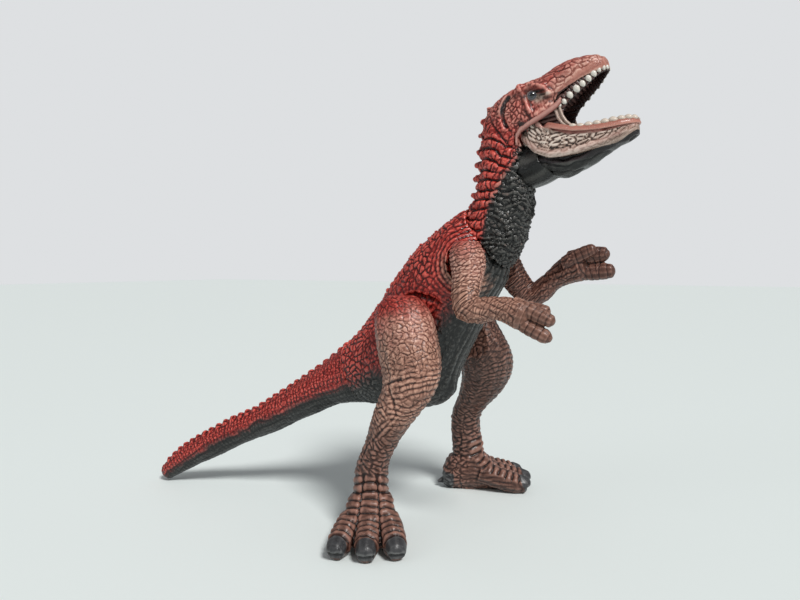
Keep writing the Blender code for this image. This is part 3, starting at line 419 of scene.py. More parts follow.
class Paint:
    """A material's nodes, added one after another."""

    def __init__(self, name):
        self.material = bpy.data.materials.new(name)
        self.material.use_nodes = True
        self.nodes = self.material.node_tree.nodes
        self.links = self.material.node_tree.links
        self.shader = self.nodes["Principled BSDF"]

    def add(self, kind, inputs=None, **settings):
        node = self.nodes.new(kind)
        for key, value in settings.items():
            setattr(node, key, value)
        for key, value in (inputs or {}).items():
            self.put(node.inputs[key], value)
        return node

    def put(self, socket, value):
        if isinstance(value, bpy.types.NodeSocket):
            self.links.new(value, socket)
        else:
            socket.default_value = value

    def attribute(self, name, output="Fac"):
        return self.add("ShaderNodeAttribute", attribute_name=name).outputs[output]

    def math(self, operation, first, second=0.0, clamp=False):
        return self.add("ShaderNodeMath", {0: first, 1: second}, operation=operation, use_clamp=clamp).outputs[0]

    def total(self, start, *parts):
        """A sum of values, each given with its weight."""
        for value, weight in parts:
            start = self.add("ShaderNodeMath", {0: value, 1: weight, 2: start}, operation="MULTIPLY_ADD").outputs[0]
        return start

    def ramp(self, value, low, high, start=0.0, end=1.0):
        return self.add("ShaderNodeMapRange", {"Value": value, "From Min": low, "From Max": high, "To Min": start,
                                               "To Max": end}, interpolation_type="SMOOTHSTEP").outputs[0]

    def mix(self, share, first, second):
        node = self.add("ShaderNodeMix", data_type="RGBA")
        for key, value in (("Factor", share), ("A", first), ("B", second)):
            self.put([s for s in node.inputs if s.name == key and s.enabled][0], value)
        return [s for s in node.outputs if s.enabled][0]

    def levels(self, value, stops):
        """Colours over a level from 0, deep in a crack, to 1, on top of a scale."""
        node = self.add("ShaderNodeValToRGB", {"Fac": value})
        ramp = node.color_ramp
        for number, (place, color) in enumerate(stops):
            stop = ramp.elements[number] if number < 2 else ramp.elements.new(place)
            stop.position = place
            stop.color = color
        return node.outputs["Color"]

    def noise(self, vector, scale, detail=3.0, output="Fac"):
        return self.add("ShaderNodeTexNoise", {"Vector": vector, "Scale": scale, "Detail": detail}).outputs[output]

    def cracks(self, vector, scale):
        return self.add("ShaderNodeTexVoronoi", {"Vector": vector, "Scale": scale},
                        feature="DISTANCE_TO_EDGE").outputs["Distance"]

    def bump(self, height, strength, distance):
        node = self.add("ShaderNodeBump", {"Height": height, "Strength": strength, "Distance": distance * MM})
        self.put(self.shader.inputs["Normal"], node.outputs[0])


def tones(*colors):
    """A paint's colours, from the bottom of a crack to the top of a scale."""
    return tuple((level, seen(*color)) for level, color in zip((0.0, 0.34, 0.62, 1.0), colors))


RED = tones((28, 7, 6), (82, 17, 14), (136, 32, 27), (204, 88, 77))
TAN = tones((34, 18, 14), (86, 56, 46), (136, 97, 82), (196, 152, 132))
# Darker tan, the left arm's painted shade.
SHADED_TAN = tones((24, 12, 10), (62, 36, 30), (100, 65, 55), (156, 112, 97))
DARK = tones((7, 7, 8), (14, 15, 15), (26, 27, 26), (76, 75, 72))
UMBER = tones((22, 12, 10), (54, 33, 28), (86, 59, 50), (142, 104, 91))
# Painted shade: the dark under the brow, in the temple's groove and in the groove along the throat.
PAINTED_SHADE_TONES = tones((8, 7, 8), (16, 14, 15), (28, 24, 26), (60, 52, 54))
CREAM = tones((28, 22, 19), (104, 83, 73), (168, 144, 131), (222, 206, 194))
PINK = tones((74, 36, 34), (126, 74, 69), (164, 108, 100), (208, 164, 152))
ROSE = tones((96, 52, 44), (148, 90, 78), (186, 130, 116), (222, 180, 164))
CLAW = tones((24, 24, 25), (42, 42, 44), (60, 60, 62), (96, 96, 96))
FLESH = tones((22, 14, 14), (44, 28, 27), (66, 44, 41), (110, 80, 74))


def painted_vinyl(name, base, zones, fine=1.9, fine_share=0.5, gloss=0.25, bump=0.34, contrast=0.60):
    """Soft vinyl with dark paint in its cracks and light paint rubbed on its tops.
    Each zone is an attribute's name and the colours laid on where it is 1; some zones hold painted shade or a painted
    highlight."""
    paint = Paint(name)
    grain = paint.attribute("grain", "Vector")
    depth = paint.attribute("depth")
    shade = paint.attribute("shade")
    wander = paint.noise(grain, 1.1, 2.0, "Color")
    place = paint.add("ShaderNodeVectorMath", {0: wander, 1: (0.7, 0.7, 0.7), 2: grain},
                      operation="MULTIPLY_ADD").outputs[0]
    thin = paint.ramp(paint.cracks(place, fine), 0.0, 0.10)
    patch = paint.ramp(paint.noise(grain, 0.4, 2.0), 0.38, 0.62)
    thin = paint.math("MULTIPLY", paint.math("SUBTRACT", thin, 1.0), paint.math("MULTIPLY", patch, fine_share))
    pores = paint.noise(grain, 7.0, 4.0)
    mottle = paint.noise(grain, 0.25, 3.0)
    level = paint.total(0.36, (depth, contrast), (shade, 0.10), (mottle, 0.26), (thin, 0.34), (pores, 0.12))
    color = paint.levels(level, base)
    torn = paint.total(-0.26, (paint.noise(grain, 0.6, 4.0), 0.52), (depth, 0.12))
    for zone, colors in zones:
        share = paint.ramp(paint.math("ADD", paint.attribute(zone), torn), 0.10, 0.90)
        color = paint.mix(share, color, paint.levels(level, colors))
    paint.put(paint.shader.inputs["Base Color"], color)
    paint.put(paint.shader.inputs["Roughness"], paint.total(gloss - 0.1, (paint.noise(grain, 2.4, 3.0), 0.2)))
    paint.shader.inputs["Specular IOR Level"].default_value = 0.38
    paint.bump(paint.total(0.0, (thin, 0.8), (pores, 0.35)), 0.8, bump)
    return paint.material


def moulded_plastic(name, color, roughness, mottle_share=0.2, grit=0.06):
    """Hard plastic with a slight mottle and a fine grit."""
    paint = Paint(name)
    place = paint.add("ShaderNodeTexCoord").outputs["Object"]
    mottle = paint.noise(place, 260.0, 4.0)
    low = tuple(c * (1 - mottle_share) for c in color[:3]) + (1,)
    paint.put(paint.shader.inputs["Base Color"], paint.mix(paint.ramp(mottle, 0.35, 0.65), low, color))
    paint.put(paint.shader.inputs["Roughness"], paint.total(roughness, (mottle, 0.1)))
    paint.bump(paint.noise(place, 900.0, 2.0), grit, 0.2)
    return paint.material


# ---- neck and head ----

BROW = ((114.8, -29.8, 279.2), (116.8, -29.8, 281.2), (120.8, -29.2, 282.8), (125.4, -29.2, 282.4),
        (129.2, -28.9, 280.6),
        (131.6, -28.4, 278.2))
CHEEK_BAR = ((116.8, -31.2, 279.6), (118.3, -32, 276.8), (120.0, -31.9, 271.8), (121.6, -31.0, 267.4))
TEMPLE = ((115.7, -30.6, 281.5), (110.9, -30.6, 280.1), (106.0, -30.6, 277.2), (103.8, -30.6, 273.2),
          (103.0, -30.6, 268.9))
TEMPLE_GROOVE = ((108.2, -31.6, 277.4), (105.8, -32.1, 274.0), (104.4, -32.1, 270.2), (104.4, -32.1, 265.4),
                 (106.4, -31.4, 260.6))
LIP_CORNER = ((121, -29.4, 264.0), (127, -29.8, 267.8), (133, -28.8, 271.6))
UPPER_LIP = ((113.4, -25.4, 249.5), (112.6, -26.8, 254.6), (114.6, -28.4, 257.8), (119.4, -29.4, 259.6),
             (127, -29.8, 262.4), (134, -28.8, 267.6), (142, -26.8, 276.6), (150, -24.6, 283.8), (157, -22.4, 288.8),
             (162, -18.2, 292), (164.5, MIDDLE, 293.6))
# The hollow above the lip's corner, which is filled.
CHEEK_GROOVE = ((117.4, -30, 262.6), (119.8, -30, 263.8), (126.7, -30, 267.2), (133.6, -30, 270.2))
NECK_FOLD = ((113, -24.5, 246), (111.6, -26.9, 243.0), (108.2, -28.6, 236.7), (103.8, -29.2, 229.1),
             (99.3, -29.4, 223.4),
             (95, -29.4, 214))
NECK_CORDS = (((106, -27.8, 236), (109.1, -27.8, 226.1), (110.4, -27.1, 217.3), (113.1, -24.7, 211.5),
              (114.5, -17, 207)),
              ((112.5, -22.2, 230), (114.6, -20.2, 217.6), (115.4, -17.5, 208.0)),
              ((99, -30.5, 214), (103, -30.2, 205), (108, -27, 196), (112, -20, 190)))
SNOUT_RIDGE = ((130, -27.5, 284.5), (136, -25.5, 288), (144, -23, 292.5), (152, -20.5, 296.4), (160, -17.5, 298.6))
NOSTRIL = ((161.4, -18.4, 294.6), (163.2, -17.0, 295.6))
# The head's ridges and grooves, each with its width and height.
HEAD_RIDGES = ((CHEEK_BAR, 1.4, 1.7), (TEMPLE, 1.7, 1.6), (TEMPLE_GROOVE, 1.0, -1.3), (UPPER_LIP, 1.5, 0.8),
               (SNOUT_RIDGE, 2.4, 0.6), (NECK_FOLD, 1.5, 1.3), (NOSTRIL, 0.7, -1.2),
               *((cord, 1.7, 1.2) for cord in NECK_CORDS))
# The bumps along the neck's back, as forward, up and size.
BACK_BUMPS = ((98.5, 272.5, 1.9), (91, 268.0, 2.1), (84.5, 260.0, 2.4), (83.6, 250.5, 2.4), (82.6, 241.5, 2.4),
              (81.4, 232.5, 2.3), (80.8, 222.5, 2.2), (79.6, 213.0, 2.2), (76.5, 203.5, 2.0))
EYE_PLACE = (121.6, -27.6, 277.4)
EYE_RADIUS = 3.6
SOCKET = (124.6, 276.9)


def dress_head():
    skin = Skin("neck_and_head", "neck_head_shell", 0.58, 14)
    skin.pull(LIP_CORNER, (0.6, 0, -4.6), 4.6)
    skin.pull([(x - 0.8, y, z - 4.0) for x, y, z in LIP_CORNER], (0.2, 0, -3.8), 5.0)
    skin.pull(((118.5, MIDDLE - 7, 236.5), (118.5, MIDDLE + 7, 236.5)), (6.0, 0, 0), 5.2)
    skin.pull(((107, MIDDLE - 4, 284), (116, MIDDLE - 4, 288), (125, MIDDLE - 4, 290)), (0, 0, -2.0), 11)
    points = skin.points
    nape = step(points[:, 2], 198, 212) * step(points[:, 2], 274, 256)
    points[:, 0] += 4.0 * nape * step(above_line(points, HEAD_PATH), -6, 12)
    skin.refresh()
    red_side = above_line(points, RED_LINE)
    along = along_line(points, HEAD_PATH)
    across = points[:, 1] - MIDDLE
    neck = step(along, 116, 94) * step(points[:, 2], 272, 258)
    head = 1 - neck
    socket = skin.dent(SOCKET, 6, 8.4, 4.8, 2.8)
    skin.dent((109.6, 269.6), 68, 9.0, 5.0, 1.4)
    for line, width, height in ((BROW, 2.0, 3.0), (CHEEK_GROOVE, 2.6, 1.2)):
        for path in mirrored(line):
            skin.ridge(skin.on_skin(path), width, height)
    for line, width, height in HEAD_RIDGES:
        for path in mirrored(line):
            skin.ridge(path, width, height)
    for x, z, size in BACK_BUMPS:
        skin.bump((x - 6, MIDDLE, z), size * 1.15, size * 1.6)
        for out in (-7.0, 7.0):
            skin.bump((x - 4, MIDDLE + out, z - 1), size * 0.95, size * 1.15)
            skin.bump((x, MIDDLE + out * 1.8, z - 4), size * 0.8, size * 0.5)
    skin.settle()
    skin.soften(UPPER_LIP[1:6], 4.5, 14)
    smooth = np.zeros(len(points))
    for path, width in ((UPPER_LIP[:7], 2.6), (UPPER_LIP[6:], 6.5), (BROW, 3.6), (CHEEK_BAR, 2.4), (TEMPLE, 2.4)):
        smooth = np.maximum(smooth, skin.near(path, width, width * 0.55))
    rough = 1 - smooth
    warp = drift(points, 9.0, 1)
    upper = step(red_side, -1.5, 3)
    rings = along + warp * 1.7 - np.abs(across) * 0.12
    skin.folds(rings, 6.2, 2.1, neck * upper, 0.8)
    skin.folds(along + warp * 3.4 + across * 0.2, 4.2, 1.2, neck * (1 - upper))
    wander = wandering(points, 7.0, 3)
    out = above_line(points, HEAD_PATH)
    beads = np.column_stack((rings / 6.2, across / 4.6 + wander[:, 0] * 0.5, out / 4.6 + wander[:, 1] * 0.5))
    skin.scales(beads, 1.2, neck * upper, 0.4, 11, 0.2)
    skin.scales(beads * 2.3, 0.35, neck * upper, 0.9, 15, 0.2)
    loose = np.column_stack((along / 3.4, across / 4.2, out / 4.2)) + wander * 0.6
    skin.scales(loose, 0.8, neck * (1 - upper), 0.9, 14, 0.22)
    plates = np.column_stack((along / 5.4, across / 3.2, out / 3.2)) + wander * 0.5
    snout = step(points[:, 0], 122, 132)
    skin.scales(plates, 0.55, head * rough * snout * (1 - socket), 0.95, 12, 0.14)
    pebbles = np.column_stack((along / 2.9, across / 2.7, out / 2.7)) + wander * 0.4
    skin.scales(pebbles, 0.6, head * rough * (1 - snout) * (1 - 0.8 * socket), 0.85, 13)
    skin.lift += drift(points, 4.0, 6) * 0.10
    lip = np.zeros(len(points))
    for path, width, strength in ((UPPER_LIP[:3], 1.8, 0.8), (UPPER_LIP[2:7], 2.3, 0.9), (UPPER_LIP[6:], 6.5, 0.5),
                                  (NECK_FOLD[2:], 2.4, 0.5)):
        lip = np.maximum(lip, strength * skin.near(path, width, width * 0.4))
    crest = np.maximum(skin.near(BROW, 2.6, 0.8), skin.near(TEMPLE, 2.6, 0.8))
    groove = skin.near(TEMPLE_GROOVE, 1.9, 0.9)
    half = np.interp(points[:, 0], (112, 121.5, 137, 153, 162.4, 166), (21.5, 20.5, 17, 12.1, 8, 3))
    inward = np.maximum(step(-skin.normals[:, 2], 0.0, 0.35), step(-skin.normals[:, 1] * np.sign(across), 0.2, 0.5))
    inside = step(half - np.abs(across), 1.6, 2.8) * inward * step(points[:, 0], 113, 116)
    inside *= step(points[:, 2], 250, 256) * (1 - step(points[:, 2], 272, 275) * step(points[:, 0], 135, 131))
    lid = socket * step(points[:, 0], 121, 125) * step(279.4 - points[:, 2], 0, 1.6)
    material = painted_vinyl("head vinyl", DARK, (("red", RED), ("lip", ROSE), ("crest", PINK), ("lid", CREAM),
                                                  ("painted_shade", PAINTED_SHADE_TONES), ("mouth", FLESH)))
    hollow = socket * step(skin.around(socket), 0.3, 0.7)
    shadow = np.maximum(step(points[:, 2], 278.4, 279.4), step(points[:, 0], 121, 118))
    shadow *= step(points[:, 2], 281.4, 280.4)
    # Painted shadow under the brow in the eye's socket, and painted shade in the temple's groove.
    painted_shade = np.maximum(groove * 0.8, hollow * shadow)
    # The snout's own pink, made lighter still beside the front of the lip as a painted highlight.
    snout_pink_and_highlight = head * (0.38 + 0.40 * step(points[:, 0], 120, 140) * step(to_path(points, UPPER_LIP)[0], 13, 6))
    zones = {"red": step(red_side + warp, -4, 4), "lip": np.maximum(lip * 0.6, snout_pink_and_highlight), "crest": crest * 0.16,
             "lid": lid, "painted_shade": painted_shade, "mouth": crisp(inside)}
    skin.shorten(*HEAD_TIP)
    return skin.finish(np.column_stack((along, across, out)) / 2.6, material, "head", zones)


def dress_jaw():
    skin = Skin("lower_jaw_skin", "lower_jaw", 0.55, 8)
    skin.meet(((130, 261.0), (131.5, 260.8), (136.7, 259.0), (145.4, 257.4), (153.7, 257.0), (162, 257.4)), 15)
    skin.pull(((131, MIDDLE - 6, 228), (131, MIDDLE + 6, 228)), (0, 0, 1.3), 9)
    points = skin.points
    above = above_line(points, THROAT_LINE)
    along = along_line(points, JAW_PATH)
    across = points[:, 1] - MIDDLE
    outward = step(np.abs(skin.normals[:, 1]) - 0.35 * skin.normals[:, 2], 0.0, 0.4)
    groove = -3.0 * np.exp(-((above + 0.6) / 1.7) ** 2) + 1.1 * np.exp(-((above - 3.4) / 2.2) ** 2)
    skin.lift += outward * step(points[:, 0], 172, 156) * groove
    rim_path = ((127, -28.4, 261.5), (131.5, -28.0, 261.2), (136.7, -27.6, 258.8), (145, -26.9, 256.2),
    (153.7, -25.9, 256.0),
                (160, -25, 256.3), (166.2, -23.9, 257.2), (173, -22, 258.6), (179, -19.6, 259.8), (184, -16, 260.6),
                (186.3, MIDDLE, 261))
    for path in mirrored(rim_path):
        skin.ridge(path, 2.2, 0.8)
    rim = skin.near(rim_path, 4.2, 2.8)
    skin.settle()
    bulge = np.exp(-((above - 3.6) / 2.4) ** 2) * outward
    below = step(above, 0, -2.5)
    warp = drift(points, 9.0, 21)
    wander = wandering(points, 8.0, 23)
    skin.folds(above + warp * 1.6, 3.6, 1.3, below, 0.5)
    long_scales = np.column_stack((along / 6.4, across / 2.6, above / 1.9)) + wander * 0.24
    plain = outward * (1 - rim) * (1 - 0.75 * bulge) * step(above, 0.5, 3)
    skin.scales(long_scales, 0.75, plain, 0.8, 22, 0.16)
    skin.lift += drift(points, 4.0, 26) * 0.08
    grain = np.column_stack((along / 3.6, across / 2.4, above / 2.0))
    material = painted_vinyl("jaw vinyl", CREAM, (("rim", PINK), ("throat", DARK), ("painted_shade", PAINTED_SHADE_TONES), ("mouth", FLESH)),
                             fine_share=0.35, contrast=0.66)
    inner = step(skin.normals[:, 2] * 0.6 - np.sign(across) * skin.normals[:, 1], 0.25, 0.6) * (1 - rim)
    inner *= step(points[:, 0], 127, 131)
    # The dark line in the groove along the throat is painted shade.
    zones = {"throat": crisp(step(above, 0.9, -0.9)), "rim": np.maximum(rim * 0.74, bulge * 0.4),
             "mouth": crisp(inner), "painted_shade": crisp(np.exp(-((above + 1.4) / 1.6) ** 2) * outward)}
    skin.shorten(*CHIN)
    return skin.finish(grain, material, "jaw", zones)


# ---- body and tail ----

BACK_LINE = ((-22, 124), (-9, 134), (1, 143), (10, 154), (18, 165), (27, 176), (37, 186), (48, 195), (60, 204))


def dress_torso():
    skin = Skin("torso_skin", "torso_shell", 0.74, 26)
    skin.pull(((58, MIDDLE, 91), (52, MIDDLE, 86)), (2.3, 0, -0.8), 9.0)
    points = skin.points
    red_side = above_line(points, RED_LINE)
    along = along_line(points, TORSO_PATH)
    out = above_line(points, TORSO_PATH)
    across = points[:, 1] - MIDDLE
    flank = step(np.abs(skin.normals[:, 1]), 0.15, 0.55)
    for number, (x, z) in enumerate(even_places(BACK_LINE, 5.4)):
        tall = 1.0 + 0.35 * math.sin(number * 2.4)
        skin.bump((x, MIDDLE + (number % 2 * 2 - 1) * 1.6, z), 2.1, 2.3 * tall)
        for side in (-8.2, 8.2):
            skin.bump((x, MIDDLE + side + (number % 3 - 1), z), 1.8, 0.9 * tall)
    skin.settle()
    warp = drift(points, 16.0, 31)
    wander = wandering(points, 11.0, 32)
    hip, shoulder = (np.hypot(points[:, 0] - JOINTS[name].x / MM, points[:, 2] - JOINTS[name].z / MM)
                     for name in ("hip_right", "shoulder_right"))
    hip_crease = flank * step(hip, 47, 38)
    arm_crease = flank * step(shoulder, 33, 22)
    belly = step(red_side, -7, -16) * (1 - 0.6 * flank)
    scaled = (1 - hip_crease * 0.6) * (1 - arm_crease * 0.8) * (1 - belly)
    grain = np.column_stack((along / 4.8, across / 5.2, out / 4.6)) + wander * 0.42
    skin.scales(grain, 1.15, scaled, 0.66, 35, 0.20)
    skin.folds(hip + warp * 2.4, 4.4, 0.3, hip_crease)
    skin.folds(shoulder + warp * 1.5, 3.3, 0.8, arm_crease)
    skin.scales(grain * 1.35, 0.3, np.maximum(hip_crease, arm_crease), 0.8, 36)
    skin.folds(across + warp * 1.6, 6.2, 1.1, belly)
    skin.folds(along + warp * 2.4, 5.0, 0.35, belly)
    skin.lift += drift(points, 6.0, 37) * 0.16
    tan = step(shoulder + warp * 3, 27, 12) * flank * step(points[:, 2] + points[:, 0] * 0.6 + warp * 4, 236, 214)
    material = painted_vinyl("body vinyl", DARK, (("red", RED), ("tan", TAN)))
    zones = {"red": step(red_side + warp * 3, -15, 9), "tan": tan * 0.8}
    return skin.finish(grain / 1.5, material, "torso", zones, 0.34)


def dress_tail():
    skin = Skin("tail_skin", "tail_shell", 0.64, 20)
    points = skin.points
    red_side = above_line(points, RED_LINE)
    along = along_line(points, TAIL_PATH)
    out = above_line(points, TAIL_PATH)
    top = ((-184, 10), (-168, 26), (-152, 39), (-136, 49), (-119, 57), (-102, 66), (-86, 75), (-70, 85), (-54, 95),
           (-38, 105), (-20, 115))
    places = even_places(top, 7.2)
    for number, (x, z) in enumerate(places):
        band = np.abs(points[:, 0] - x) < 2
        crown = points[band][np.argmax(points[band, 2])]
        size = 1.9 + 0.9 * min(number / 10, 1)
        skin.bump(crown, size * 1.1, size * 1.05)
        for side in (-4.6, 4.6):
            skin.bump((crown[0] + 2, crown[1] + side, crown[2]), size * 0.7, size * 0.42)
    skin.settle()
    warp = drift(points, 10.0, 41)
    wander = wandering(points, 8.0, 42)
    upper = step(red_side, -3, 3)
    skin.folds(along + warp * 1.8, 3.6, 0.4, 0.4 + 0.6 * upper)
    grain = np.column_stack((along / 2.5, points[:, 1] / 2.9, out / 2.6)) + wander * 0.3
    skin.scales(grain, 0.42, 0.35 + 0.65 * upper, 0.9, 45, 0.16)
    skin.folds(out + warp * 1.4, 4.4, 0.5, 1 - upper)
    skin.lift += drift(points, 5.0, 46) * 0.10
    material = painted_vinyl("tail vinyl", DARK, (("red", RED),), fine_share=0.35)
    return skin.finish(grain / 1.3, material, "torso", {"red": step(red_side + warp * 1.5, -8, 5)}, 0.26)


# ---- legs and arms ----

LEG_PATHS = {
    "right": ((46, -53, 164), (48, -53, 140), (50, -54, 118), (54, -56, 100), (46, -57, 78), (32, -57, 57),
    (25, -57, 36),
              (26, -58, 8)),
    "left": ((48, 27, 164), (52, 29, 140), (58, 33, 118), (66, 39, 104), (58, 48, 85), (43, 58, 63), (38, 63, 40),
             (39, 67, 8)),
}
# The left leg gets darker tones than the right as painted shade.
LEG_TONES = {"right": TAN, "left": UMBER}
# The size of the skins' cells. Finer ones would let the left skin into its moulding.
LEG_CELLS = {"right": 0.66, "left": 0.71}
# Each foot's ankle and heading, then the toes' places and lengths in the foot's own frame.
FEET = {"right": ((25.6, -57.7), -62.0), "left": ((38.9, 67.0), 31.0)}
TOES = ((-1, 0.92), (0, 1.0), (1, 0.92))
TOE_SPACING = 11.0
TOE_SPREAD = 12.0
TOE_START = 7.2
TOE_LENGTH = 37.4
# The top of a toe, as (forward of its root, up).
TOE_TOP = ((-9, 50), (-5, 40), (0, 29), (8, 21), (22, 15), (40, 11))
KNEE_CREASE = ((38, -64.1, 99.1), (47.2, -70.6, 103.7), (55.4, -71.7, 106.7), (63.8, -69, 110.3))
TENDON = ((45.5, -69.9, 102.3), (50.3, -71.5, 93.1), (51.7, -69.7, 84.1), (44, -69.5, 76), (35.1, -68, 67.3),
          (27.1, -65.9, 60), (22.7, -65.6, 50.1))


def foot_place(label, forward, side, up):
    (x, y), heading = FEET[label]
    way = math.radians(heading)
    return (x + math.cos(way) * forward - math.sin(way) * side,
            y + math.sin(way) * forward + math.cos(way) * side, up)


def foot_way(label, turn):
    """The heading of a toe turned out from the foot's own heading."""
    way = math.radians(FEET[label][1]) + turn
    return (math.cos(way), math.sin(way), 0.0)


def toe_path(label, place, share):
    """The line along the top of a toe, from the instep to the claw."""
    turn = math.radians(place * TOE_SPREAD)
    path = []
    for forward, up in TOE_TOP:
        reach = forward * share
        side = place * TOE_SPACING * min(1.0, 0.75 + 0.03 * max(forward + 9, 0))
        path.append(foot_place(label, TOE_START + reach * math.cos(turn), side + max(reach, 0) * math.sin(turn), up))
    return path


def dress_leg(label):
    skin = Skin(f"leg_skin_{label}", f"leg_{label}", LEG_CELLS[label], 16)
    points = skin.points
    _, along = to_path(points, LEG_PATHS[label])
    (x, y), heading = FEET[label]
    way = math.radians(heading)
    forward = (points[:, 0] - x) * math.cos(way) + (points[:, 1] - y) * math.sin(way)
    nearest = np.full(len(points), 1e9)
    second = np.full(len(points), 1e9)
    run = np.zeros(len(points))
    claw = np.zeros(len(points))
    knuckle = np.zeros(len(points))
    for place, share in TOES:
        distance, reach = to_path(points, toe_path(label, place, share))
        closer = distance < nearest
        second = np.where(closer, nearest, np.minimum(second, distance))
        nearest = np.where(closer, distance, nearest)
        run = np.where(closer, reach, run)
        turn = math.radians(place * TOE_SPREAD)
        tip = foot_place(label, TOE_START + TOE_LENGTH * share * math.cos(turn),
                         place * TOE_SPACING + TOE_LENGTH * share * math.sin(turn), 8.6)
        knob = np.linalg.norm((points - np.array(tip)) * (1, 1, 0.92), axis=1)
        beyond = (points - np.array(tip)) @ np.array(foot_way(label, turn))
        cap = np.maximum(step(knob, 7.6, 5.6), step(beyond, -1.5, 1.5) * step(knob, 14, 12))
        claw = np.maximum(claw, cap * step(points[:, 2], 0.8, 3.4))
        knuckle = np.maximum(knuckle, step(knob, 13.0, 9.5))
        skin.lift -= 0.5 * np.exp(-((knob - 7.4) / 1.0) ** 2) * step(points[:, 2], 2, 5)
        low = step(points[:, 2], 7.5, 4.5)
        push = np.where(knob < 15, np.maximum(beyond - 3.0 + low * 2.5, 0) * (0.5 + 0.3 * low), 0.0)
        skin.lift += 0.9 * np.exp(-(knob / 4.4) ** 2)
        points -= push[:, None] * np.array(foot_way(label, turn))
    foot = step(points[:, 2], 47, 38) * step(forward, -7, -1)
    heel = step(-forward, 11, 15) * step(points[:, 2], 16, 11)
    claw = np.maximum(claw, heel)
    spur = np.array(foot_place(label, -12.5, 0, 7.5))
    skin.lift += 2.2 * np.exp(-(np.linalg.norm(points - spur, axis=1) / 8.0) ** 4) * step(-forward, 8, 12)
    between = step(np.abs(second - nearest), 2.6, 0.0) * foot * step(forward + points[:, 2] * 0.2, 1, 8)
    skin.lift -= 1.5 * between * step(points[:, 2], 2, 6)
    if label == "right":
        skin.ridge(KNEE_CREASE[:3], 1.2, -1.2)
        skin.ridge(TENDON, 1.0, -0.9)
        skin.ridge([(px + 2.6, py, pz + 1.6) for px, py, pz in TENDON[2:]], 1.6, 0.7)
    skin.settle()
    scutes = foot * (1 - claw) * (1 - 0.5 * between) * step(nearest, 9.0, 6.0)
    skin.folds(run + drift(points, 6.0, 50) * 0.5, 5.3, 1.9, scutes, 0.6)
    skin.folds(points[:, 2] + drift(points, 9.0, 49) * 0.8, 3.2, 0.4, foot * (1 - knuckle) * step(nearest, 6.5, 9.5))
    leg = 1 - foot
    warp = drift(points, 13.0, 51)
    fine_warp = drift(points, 5.0, 52)
    wander = wandering(points, 8.0, 53)
    shin = step(points[:, 2], 78, 62) * leg
    centre = np.interp(points[:, 2], (20, 55, 78, 100, 126), (24, 30, 44, 50, 46))
    ahead = step(forward if label == "left" else points[:, 0] - centre, -3, 6)
    thigh = step(along + 16 * ahead, 84, 60)
    knee = leg * (1 - thigh) * (1 - shin)
    tilt = points[:, 2] - points[:, 0] * 0.24 + warp * 2.4 + fine_warp * 0.7
    grain = np.column_stack((along / 3.9, (points[:, 0] - along * 0.35) / 4.6, points[:, 1] / 4.6)) + wander * 0.35
    skin.scales(grain, 0.5, thigh, 0.95, 56, 0.10)
    skin.scales(grain * 1.7, 0.22, thigh, 0.9, 60, 0.12)
    ankle = shin * (0.3 if label == "right" else 0.8)
    skin.folds(tilt, 3.7, 0.9, np.maximum(knee, ankle) * (0.45 + 0.55 * ahead), 0.42)
    plates = np.column_stack((along / 3.9, points[:, 0] / 6.4, points[:, 1] / 6.4)) + wander * 0.35
    skin.scales(plates * 1.25, 0.4, knee * ahead, 0.95, 61, 0.12)
    skin.scales(plates, 0.8, np.maximum(shin, knee * (1 - ahead) * 0.8), 0.8, 57, 0.2)
    sides = foot * step(points[:, 2], 9, 5)
    skin.scales(plates, 0.5, np.maximum(sides, step(points[:, 2], 44, 34) * step(forward, 3, -3)) * 0.6, 0.8, 58)
    skin.lift += drift(points, 5.0, 59) * 0.14
    skin.lift = np.where(points[:, 2] < 2.5, np.minimum(skin.lift, 0.0), skin.lift)
    skin.settle()
    skin.points[:, 2] = np.maximum(skin.points[:, 2], 0.0)
    red = step(points[:, 2] + warp * 5 - points[:, 0] * 0.45, 98, 146)
    material = painted_vinyl(f"leg vinyl {label}", LEG_TONES[label],
                             (("painted_highlight", ROSE), ("brown", UMBER), ("red", RED), ("claw", CLAW)),
                             gloss=0.34)
    # The top of the right thigh is lightened with rose as a painted highlight.
    zones = {"brown": step(points[:, 2], 100, 46) * 0.9, "red": red,
             "painted_highlight": 0.45 * step(points[:, 2], 108, 140) * (label == "right"), "claw": claw * 1.8 - 0.5}
    return skin.finish(grain / 1.2, material, f"leg_{label}", zones, 0.30)


ARM_PATHS = {
    "right": ((87, -45, 188), (88, -45, 172), (91, -48, 158), (98, -51, 152), (110, -52, 152), (120, -51, 147.5),
              (130, -50, 143), (144, -50, 136)),
    "left": ((87, 20, 188), (99, 23, 174), (105, 26, 164), (111, 27.5, 158), (119, 27.5, 161.5), (130, 26, 169.3),
             (143, 26, 175.5), (156, 26, 176)),
}
# How far along the arm the forearm starts, and the fingers.
ELBOW_PLACE = 38.0
FINGERS_PLACE = {"right": 66.0, "left": 64.0}


